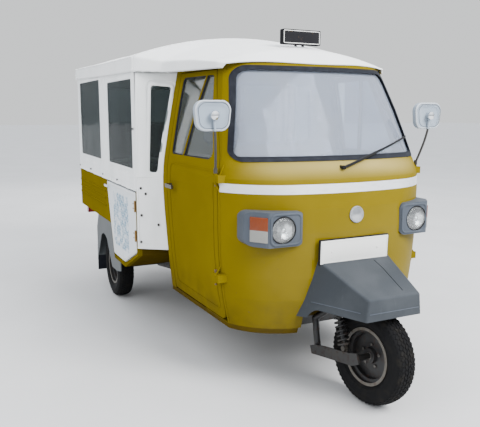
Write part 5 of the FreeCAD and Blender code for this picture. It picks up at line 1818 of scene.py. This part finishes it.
    def buttons(self) -> None:
        """Sets turn buttons in their eyelets, along the strips and on the side curtains."""
        cloth = Surface("canopy_curtains")
        rim = [(0, 0.0035), (0, 0.0082), (0.0014, 0.0074), (0.0014, 0.0035)]
        eyelets, knobs = Shape(), Shape()
        for side in Side:
            spots = [cloth.meet((side.value * x, -0.6, z), Y)
                     for x, z in ((0.713, 0.904), (0.690, 0.872), (0.712, 0.742), (0.716, 0.580), (0.630, 0.690))]
            spots += [cloth.meet((side.value * 1.2, y, z), (-side.value, 0, 0))
                      for y, z in ((-0.052, 1.249), (0.34, 0.912), (0.74, 0.912), (1.16, 0.912), (1.56, 0.912))]
            for spot, normal in spots:
                stand = set_on(spot + normal * 0.004, normal)
                eyelets.plus(Shape.lathe(rim, 20).moved(stand))
                knob = Shape.rod((0, 0, 0), (0.006, 0, 0), 0.0034, 0.0007, segments=12)
                knob.plus(Shape.block((0.0080, 0, 0), (0.0040, 0.0042, 0.0130), 0.0015))
                knobs.plus(knob.moved(stand))
        eyelets.piece("canopy_eyelets", UNDER_STEEL, "chassis", Slot.BRASS)
        knobs.piece("canopy_turn_buttons", DARK, "chassis", Slot.CHROME)


def grown(corners: Outline, by: float) -> Outline:
    """Moves the sides of a convex outline outwards.

    Args:
        corners: the outline, counter-clockwise.
        by: how far; less than 0 moves them inwards.

    Returns:
        The new outline.
    """
    count = len(corners)
    moved = []
    for i, corner in enumerate(corners):
        here = Vector(corner)
        before = (here - Vector(corners[i - 1])).normalized()
        after = (Vector(corners[(i + 1) % count]) - here).normalized()
        normals = Vector((before.y, -before.x)) + Vector((after.y, -after.x))
        normals.normalize()
        moved.append(tuple(here + normals * by / max(normals.dot(Vector((after.y, -after.x))), 0.3)))
    return moved


# Seats


@dataclass
class Cushion:
    """A padded block, blown up by a cloth simulation between its seams."""

    name: str
    low: Point
    high: Point
    lean: float = 0.0
    channels: int = 0
    swell: float = 0.014
    voxel: float = 0.010
    fill: float = 0.7
    replaces: tuple[str, ...] = ()

    def make(self) -> None:
        """Builds the cushion and its piping."""
        low, high = Vector(self.low), Vector(self.high)
        middle, size = (low + high) / 2, high - low
        inner = size - Vector((self.swell, self.swell, self.swell)) * 1.1
        tilt = Matrix.Translation(middle) @ Matrix.Rotation(self.lean, 4, "X")
        shape = Shape.block((0, 0, 0), inner, 0.022, 4)
        shape = self.blown(shape)
        if self.channels:
            shape.displaced(self.channel(inner))
        pad = shape.moved(tilt).piece(self.name, VINYL, "chassis", Slot.SEAT, self.replaces, smooth=2.0)
        self.piping(inner).moved(tilt).piece(f"{self.name}_piping", VINYL, "chassis", Slot.SEAT)

    def channel(self, size: Vector) -> Callable[[Vector], Vector]:
        """Lays out sewn channels that run front to back across the pad.

        Args:
            size: the pad's three sizes.

        Returns:
            A shift for each vertex.
        """
        def shift(spot: Vector) -> Vector:
            """Finds how far a vertex is drawn in.

            Args:
                spot: its place.

            Returns:
                Its shift.
            """
            phase = (spot.x / size.x + 0.5) * self.channels
            dip = math.exp(-(((phase - round(phase)) * size.x / self.channels) / 0.006) ** 2)
            inside = abs(phase - round(phase)) < 0.5 and 0.3 < phase < self.channels - 0.3
            return Vector((0, 0, -math.copysign(0.006, spot.z) * dip)) if inside else Vector()
        return shift

    def piping(self, size: Vector) -> Shape:
        """Makes a corded seam round the pad's upper edge.

        Args:
            size: the pad's three sizes.

        Returns:
            The seam.
        """
        half_x, half_y, level = size.x / 2 - 0.006, size.y / 2 - 0.006, size.z / 2 - 0.006
        corners = rounded(box_line(-half_x, -half_y, half_x, half_y), 0.024, 5)
        return Shape.pipe([(x, y, level) for x, y in corners], 0.0035, closed=True, sides=2)

    def blown(self, shape: Shape) -> Shape:
        """Remeshes the pad and lets pressure swell it for some frames.

        Args:
            shape: the pad's block, which is used up.

        Returns:
            The swollen pad, no point of which has moved more than the swell.
        """
        mesh = bpy.data.meshes.new("pad")
        shape.bm.to_mesh(mesh)
        shape.bm.free()
        pad = bpy.data.objects.new("pad", mesh)
        bpy.context.scene.collection.objects.link(pad)
        remesh = pad.modifiers.new("Remesh", "REMESH")
        remesh.mode, remesh.voxel_size = "VOXEL", self.voxel
        self.settle(pad)
        rest = [v.co.copy() for v in pad.data.vertices]
        cloth = pad.modifiers.new("Cloth", "CLOTH")
        cloth.settings.use_pressure = True
        cloth.settings.uniform_pressure_force = 4
        cloth.settings.effector_weights.gravity = 0
        for number in range(1, 21):
            bpy.context.scene.frame_set(number)
        self.settle(pad)
        bpy.context.scene.frame_set(1)
        swollen = Shape()
        swollen.bm.from_mesh(pad.data)
        for vertex, start in zip(swollen.bm.verts, rest):
            step = vertex.co - start
            if step.length > self.swell:
                vertex.co = start + step.normalized() * self.swell
        data = pad.data
        bpy.data.objects.remove(pad)
        bpy.data.meshes.remove(data)
        return swollen

    @staticmethod
    def settle(pad: bpy.types.Object) -> None:
        """Applies a pad's modifiers to its mesh.

        Args:
            pad: the pad.
        """
        held = bpy.context.evaluated_depsgraph_get()
        final = bpy.data.meshes.new_from_object(pad.evaluated_get(held))
        pad.modifiers.clear()
        pad.data = final


# The passenger door, the inside of the cab, and small things


@dataclass
class DoorBoard:
    """The raised frame round the passenger door's board, and its screws."""

    face: float = -0.7352
    outline: tuple[tuple[float, float], ...] = (
        (-0.051, 0.506), (0.227, 0.386), (0.504, 0.386), (0.662, 0.872), (-0.051, 0.872))
    bead: float = 0.0105
    flat: float = 0.42
    screw_spots: tuple[tuple[float, float], ...] = tuple(
        (y, z) for y in (-0.034, -0.024) for z in (0.596, 0.624, 0.776, 0.804))

    def make(self) -> None:
        """Builds the frame and the screws."""
        inner = grown(list(self.outline), -0.011)
        points = [(self.face, u, v) for u, v in rounded(inner, 0.010, 3)]
        edge = Shape.pipe(points, self.bead, closed=True, sides=2).squeezed(X, (self.face, 0, 0), self.flat)
        edge.piece("side_door_frame", BOARD_EDGE, "side_door", Slot.BOARD)
        screws = Shape()
        for y, z in self.screw_spots:
            screws.plus(Shape.rod((-0.744, y, z), (-0.7458, y, z), 0.0036, 0.0006, segments=10))
        screws.piece("side_door_screws", BRASS, "side_door", Slot.BRASS)


@dataclass
class Inside:
    """The dial on the dashboard, and the driver's floor mat."""

    dial_radius: float = 0.052
    ring_radii: tuple[float, float] = (0.044, 0.042)
    ring_bead: float = 0.0026
    mat_y: float = -0.62
    mat_size: Point = (0.96, 0.60, 0.007)
    rib_size: Point = (0.008, 0.56, 0.003)
    rib_pace: float = 0.03

    def make(self) -> None:
        """Builds what can be seen through the glass."""
        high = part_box("dashboard")[1]
        dial = Vector((0.0, high.y - 0.010, high.z))
        foot, rim = dial + Vector((0, -0.012, -0.004)), dial + Vector((0, 0.004, 0.052))
        Shape.rod(foot, rim, self.dial_radius, 0.006, 0.9, 32).piece("dial_housing", DARK, "chassis", Slot.DARK)
        wide, deep = self.ring_radii
        points = [dial + Vector((math.cos(a) * wide, 0.004 + math.sin(a) * deep, 0.0535))
                  for a in [i * math.tau / 32 for i in range(32)]]
        ring = Shape.pipe(points, self.ring_bead, closed=True, sides=2)
        ring.piece("dial_ring", CHROME, "chassis", Slot.CHROME)
        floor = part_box("cab_floor")[1].z
        mat = Shape.block((0, self.mat_y, floor + 0.004), self.mat_size, 0.003)
        for x in steps_between(-0.45, 0.45, self.rib_pace):
            mat.plus(Shape.block((x, self.mat_y, floor + 0.0085), self.rib_size, 0.001, 1))
        mat.piece("floor_mat", SEAL, "chassis", Slot.RUBBER)


@dataclass
class SmallTrim:
    """Borders, caps and lines that finish the mirrors, the sign, the wiper and the mudguard."""

    mirror: Point = (0.631, -0.992, 1.333)
    mirror_outline: tuple[tuple[float, float], ...] = (
        (-0.074, -0.066), (0.074, -0.066), (0.089, 0.064), (-0.089, 0.064))
    groove_outline: tuple[tuple[float, float], ...] = (
        (-0.066, -0.058), (0.066, -0.058), (0.081, 0.056), (-0.081, 0.056))
    sign: tuple[float, float, float, float] = (-0.108, 0.123, 1.701, 1.778)
    sign_inset: float = 0.007
    wiper_line: tuple[tuple[float, float], ...] = (
        (-0.036, 1.092), (0.015, 1.104), (0.130, 1.134), (0.250, 1.165), (0.370, 1.196), (0.476, 1.224))
    guard_front: float = -1.500
    guard_lip: float = 0.490

    def make(self) -> None:
        """Builds the small trim."""
        self.mirrors()
        self.sign_frame()
        self.wiper()
        self.guard_line()

    def mirrors(self) -> None:
        """Lays a rolled border and a groove round each mirror's back, and sets a plated cap on its boss."""
        across, front, height = self.mirror
        cap = [(0, 0), (0, 0.021), (0.004, 0.020), (0.010, 0.012), (0.013, 0.006), (0.0135, 0)]
        borders, grooves, caps = Shape(), Shape(), Shape()
        for side in Side:
            middle = Vector((side.value * across, front, height))
            line = rounded(list(self.mirror_outline), 0.040, 8)
            borders.plus(Shape.pipe([middle + Vector((u, 0, v)) for u, v in line], 0.0048, closed=True, sides=3))
            inner = rounded(list(self.groove_outline), 0.036, 8)
            flat = [middle + Vector((u, -0.0125, v)) for u, v in inner]
            grooves.plus(Shape.pipe(flat, 0.0014, closed=True, sides=1))
            caps.plus(Shape.lathe(cap, 32, closed=False).moved(set_on(middle + Vector((0, -0.024, 0)), -Y)))
        borders.piece("mirror_borders", MIRROR_LINE, "chassis", Slot.PLASTIC)
        grooves.piece("mirror_grooves", GREY, "chassis", Slot.PLASTIC)
        caps.piece("mirror_caps", CHROME, "chassis", Slot.CHROME)

    def sign_frame(self) -> None:
        """Lays a thin pale line round both faces of the blank roof sign."""
        low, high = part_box("roof_sign")
        left, right, below, above = self.sign
        inset = self.sign_inset
        line = rounded(box_line(left + inset, below + inset, right - inset, above - inset), 0.004, 3)
        rings = [Shape.pipe([(u, y, v) for u, v in line], 0.0020, closed=True, sides=1) for y in (low.y, high.y)]
        joined(rings).piece("sign_lines", CREAM, "chassis", Slot.BOARD)

    def wiper(self) -> None:
        """Builds the wiper's arm, its blade on the glass, and the spindle's cap, along the CAD blade's line."""
        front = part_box("wiper")[0].y
        skin = Surface("wiper")
        foot_x, foot_z = self.wiper_line[0]

        def beside(x: float, off: float, below: float = 0.0) -> Vector:
            """A place on the CAD blade's front at a distance across, moved off the glass and down."""
            z = table_at(self.wiper_line, x)[0]
            return skin.meet((x, -3, z), Y)[0] + Vector((0, -off, -below))

        rubber = Shape.pipe([beside(x, -0.008, 0.004) for x in steps_between(0.090, 0.470, 0.02)], 0.0046, sides=2)
        bridge = Shape.pipe([beside(x, 0.001, -0.002) for x in steps_between(0.140, 0.430, 0.02)], 0.0036, sides=2)
        arm = Shape.pipe([beside(x, 0.002) for x in steps_between(-0.034, 0.200, 0.02)], 0.0072, sides=2)
        rubber.plus(bridge, arm).piece("wiper_arm", DARK, "chassis", Slot.DARK)
        cap = Shape.rod((foot_x, front - 0.006, foot_z), (foot_x, front + 0.010, foot_z), 0.0095, 0.003, segments=20)
        cap.piece("wiper_cap", DARK, "chassis", Slot.DARK)

    def guard_line(self) -> None:
        """Lays the moulded line above the mudguard's lip in a lighter grey that paints a highlight on it, and a dark
        line along its top that paints the shadow at the edge of its ridge.
        """
        guard = Surface("front_mudguard")
        lines = Shape()
        for side in Side:
            run = []
            for y in steps_between(self.guard_front, -1.235, 0.012):
                height = self.guard_lip - (y - self.guard_front) * 0.05
                run.append(guard.meet((side.value * 0.8, y, height), (-side.value, 0, 0))[0])
            lines.plus(Shape.pipe(run, 0.0022, sides=2))
        front = [guard.meet((x, -2.0, self.guard_lip), Y)[0] for x in steps_between(-0.135, 0.135, 0.012)]
        # painted highlight: the moulded line is a lighter grey than the guard
        lines.plus(Shape.pipe(front, 0.0022, sides=2)).piece("mudguard_line", GREY, "chassis", Slot.PLASTIC)
        # painted shadow: a dark line at the edge of the guard's top, on one side only
        top = [(0.0895 - max(-1.330 - y, 0) * 0.12, y) for y in steps_between(self.guard_front, -1.264, 0.012)]
        ridge_shade = Shape.pipe([guard.meet((x, y, 1.0), -Z)[0] for x, y in top], 0.0017, sides=2)
        ridge_shade.piece("mudguard_crease", DARK, "chassis", Slot.PLASTIC)


# The stage


@dataclass
class Studio:
    """A pale floor, soft lights, and the photograph's camera."""

    eye: tuple[float, float, float] = (-1.706, -3.515, 1.349)
    yaw: float = -25.65
    pitch: float = -9.61
    roll: float = 0.2
    lens: float = 44.97
    floor_half: float = 60
    floor_colours: tuple[Colour, Colour] = ((0.53, 0.53, 0.53), (0.56, 0.56, 0.56))
    horizon: Colour = (0.42, 0.46, 0.50)
    overhead: Colour = (2.55, 2.65, 2.80)
    backdrop: Colour = (0.98, 1.00, 1.01)
    aim: Point = (0, 0, 0.8)
    lamps: tuple[tuple[str, Point, float, float], ...] = (  # name, place, size and power
        ("key", (2.6, -6.5, 6.0), 4.0, 1500), ("fill", (-5.5, -2.5, 3.5), 4.0, 160),
        ("rear", (1.0, 6.0, 5.0), 5.0, 260))

    def make(self) -> None:
        """Builds the stage."""
        self.camera()
        self.floor()
        self.lights()

    def camera(self) -> None:
        """Sets the camera to the photograph's view."""
        data = bpy.data.cameras.new("view")
        data.lens, data.sensor_width, data.clip_end = self.lens, 36, 200
        camera = bpy.data.objects.new("view", data)
        camera.location = self.eye
        heading = Matrix.Rotation(math.radians(self.yaw), 4, "Z")
        dip = Matrix.Rotation(math.radians(90 + self.pitch), 4, "X")
        tilt = Matrix.Rotation(math.radians(self.roll), 4, "Z")
        camera.rotation_euler = (heading @ dip @ tilt).to_euler()
        bpy.context.scene.collection.objects.link(camera)
        bpy.context.scene.camera = camera

    def floor(self) -> None:
        """Lays a wide pale floor that meets a pale sky."""
        shape = Shape()
        bmesh.ops.create_grid(shape.bm, x_segments=1, y_segments=1, size=self.floor_half)
        graph = Graph(bpy.data.materials.new("studio_floor"))
        tone = graph.noise(1.3, 4).between(0.3, 0.7)
        material = graph.dress(Base_Color=graph.mix(tone, *self.floor_colours), Roughness=0.9, Specular_IOR_Level=0.1)
        mesh = bpy.data.meshes.new("floor")
        shape.bm.to_mesh(mesh)
        mesh.materials.append(material)
        floor = bpy.data.objects.new("floor", mesh)
        bpy.context.scene.collection.objects.link(floor)

    def lights(self) -> None:
        """Sets up a sky that is brightest overhead, in front of an even backdrop, and the soft lamps."""
        graph = Graph(bpy.data.worlds.new("sky"), "Background")
        spot = graph.make("ShaderNodeTexCoord", {}, {}, "Generated")
        up = graph.make("ShaderNodeSeparateXYZ", {}, {0: spot}, "Z")
        sky = graph.mix(up, self.horizon, self.overhead)
        seen = graph.make("ShaderNodeLightPath", {}, {}, "Is Camera Ray")
        bpy.context.scene.world = graph.dress(Color=graph.mix(seen, sky, self.backdrop))
        for name, place, size, power in self.lamps:
            data = bpy.data.lights.new(name, "AREA")
            data.size, data.energy = size, power
            light = bpy.data.objects.new(name, data)
            light.visible_glossy = False
            light.location = place
            light.rotation_euler = (Vector(place) - Vector(self.aim)).to_track_quat("Z", "Y").to_euler()
            bpy.context.scene.collection.objects.link(light)


def main() -> None:
    """Builds everything in order."""
    logging.basicConfig(level=logging.INFO, format="%(name)s %(message)s")
    Studio().make()
    for finish, nodes in NODE_FINISHES.items():
        dressed(finish, *nodes)
    for wheel in wheels():
        dressed(RimPaint(tuple(wheel.hub), name=f"{wheel.name}_rim_paint"), f"{wheel.name}_rim")
        wheel.make()
    Cab().make()
    Lamps().make()
    Canopy().make()
    DoorBoard().make()
    Inside().make()
    SmallTrim().make()
    Cushion("driver_cushion", (-0.290, -0.665, 0.5066), (0.290, -0.330, 0.612), channels=5,
            replaces=("seats",)).make()
    Cushion("driver_back", (-0.290, -0.330, 0.620), (0.290, -0.245, 0.980), lean=-0.05).make()
    Cushion("bench_cushion", (-0.647, 0.825, 0.8446), (0.647, 1.215, 0.950), channels=9, voxel=0.012).make()
    Cushion("bench_back", (-0.647, 1.195, 0.955), (0.647, 1.285, 1.275), lean=-0.05, voxel=0.012).make()


if __name__ == "__main__":
    main()
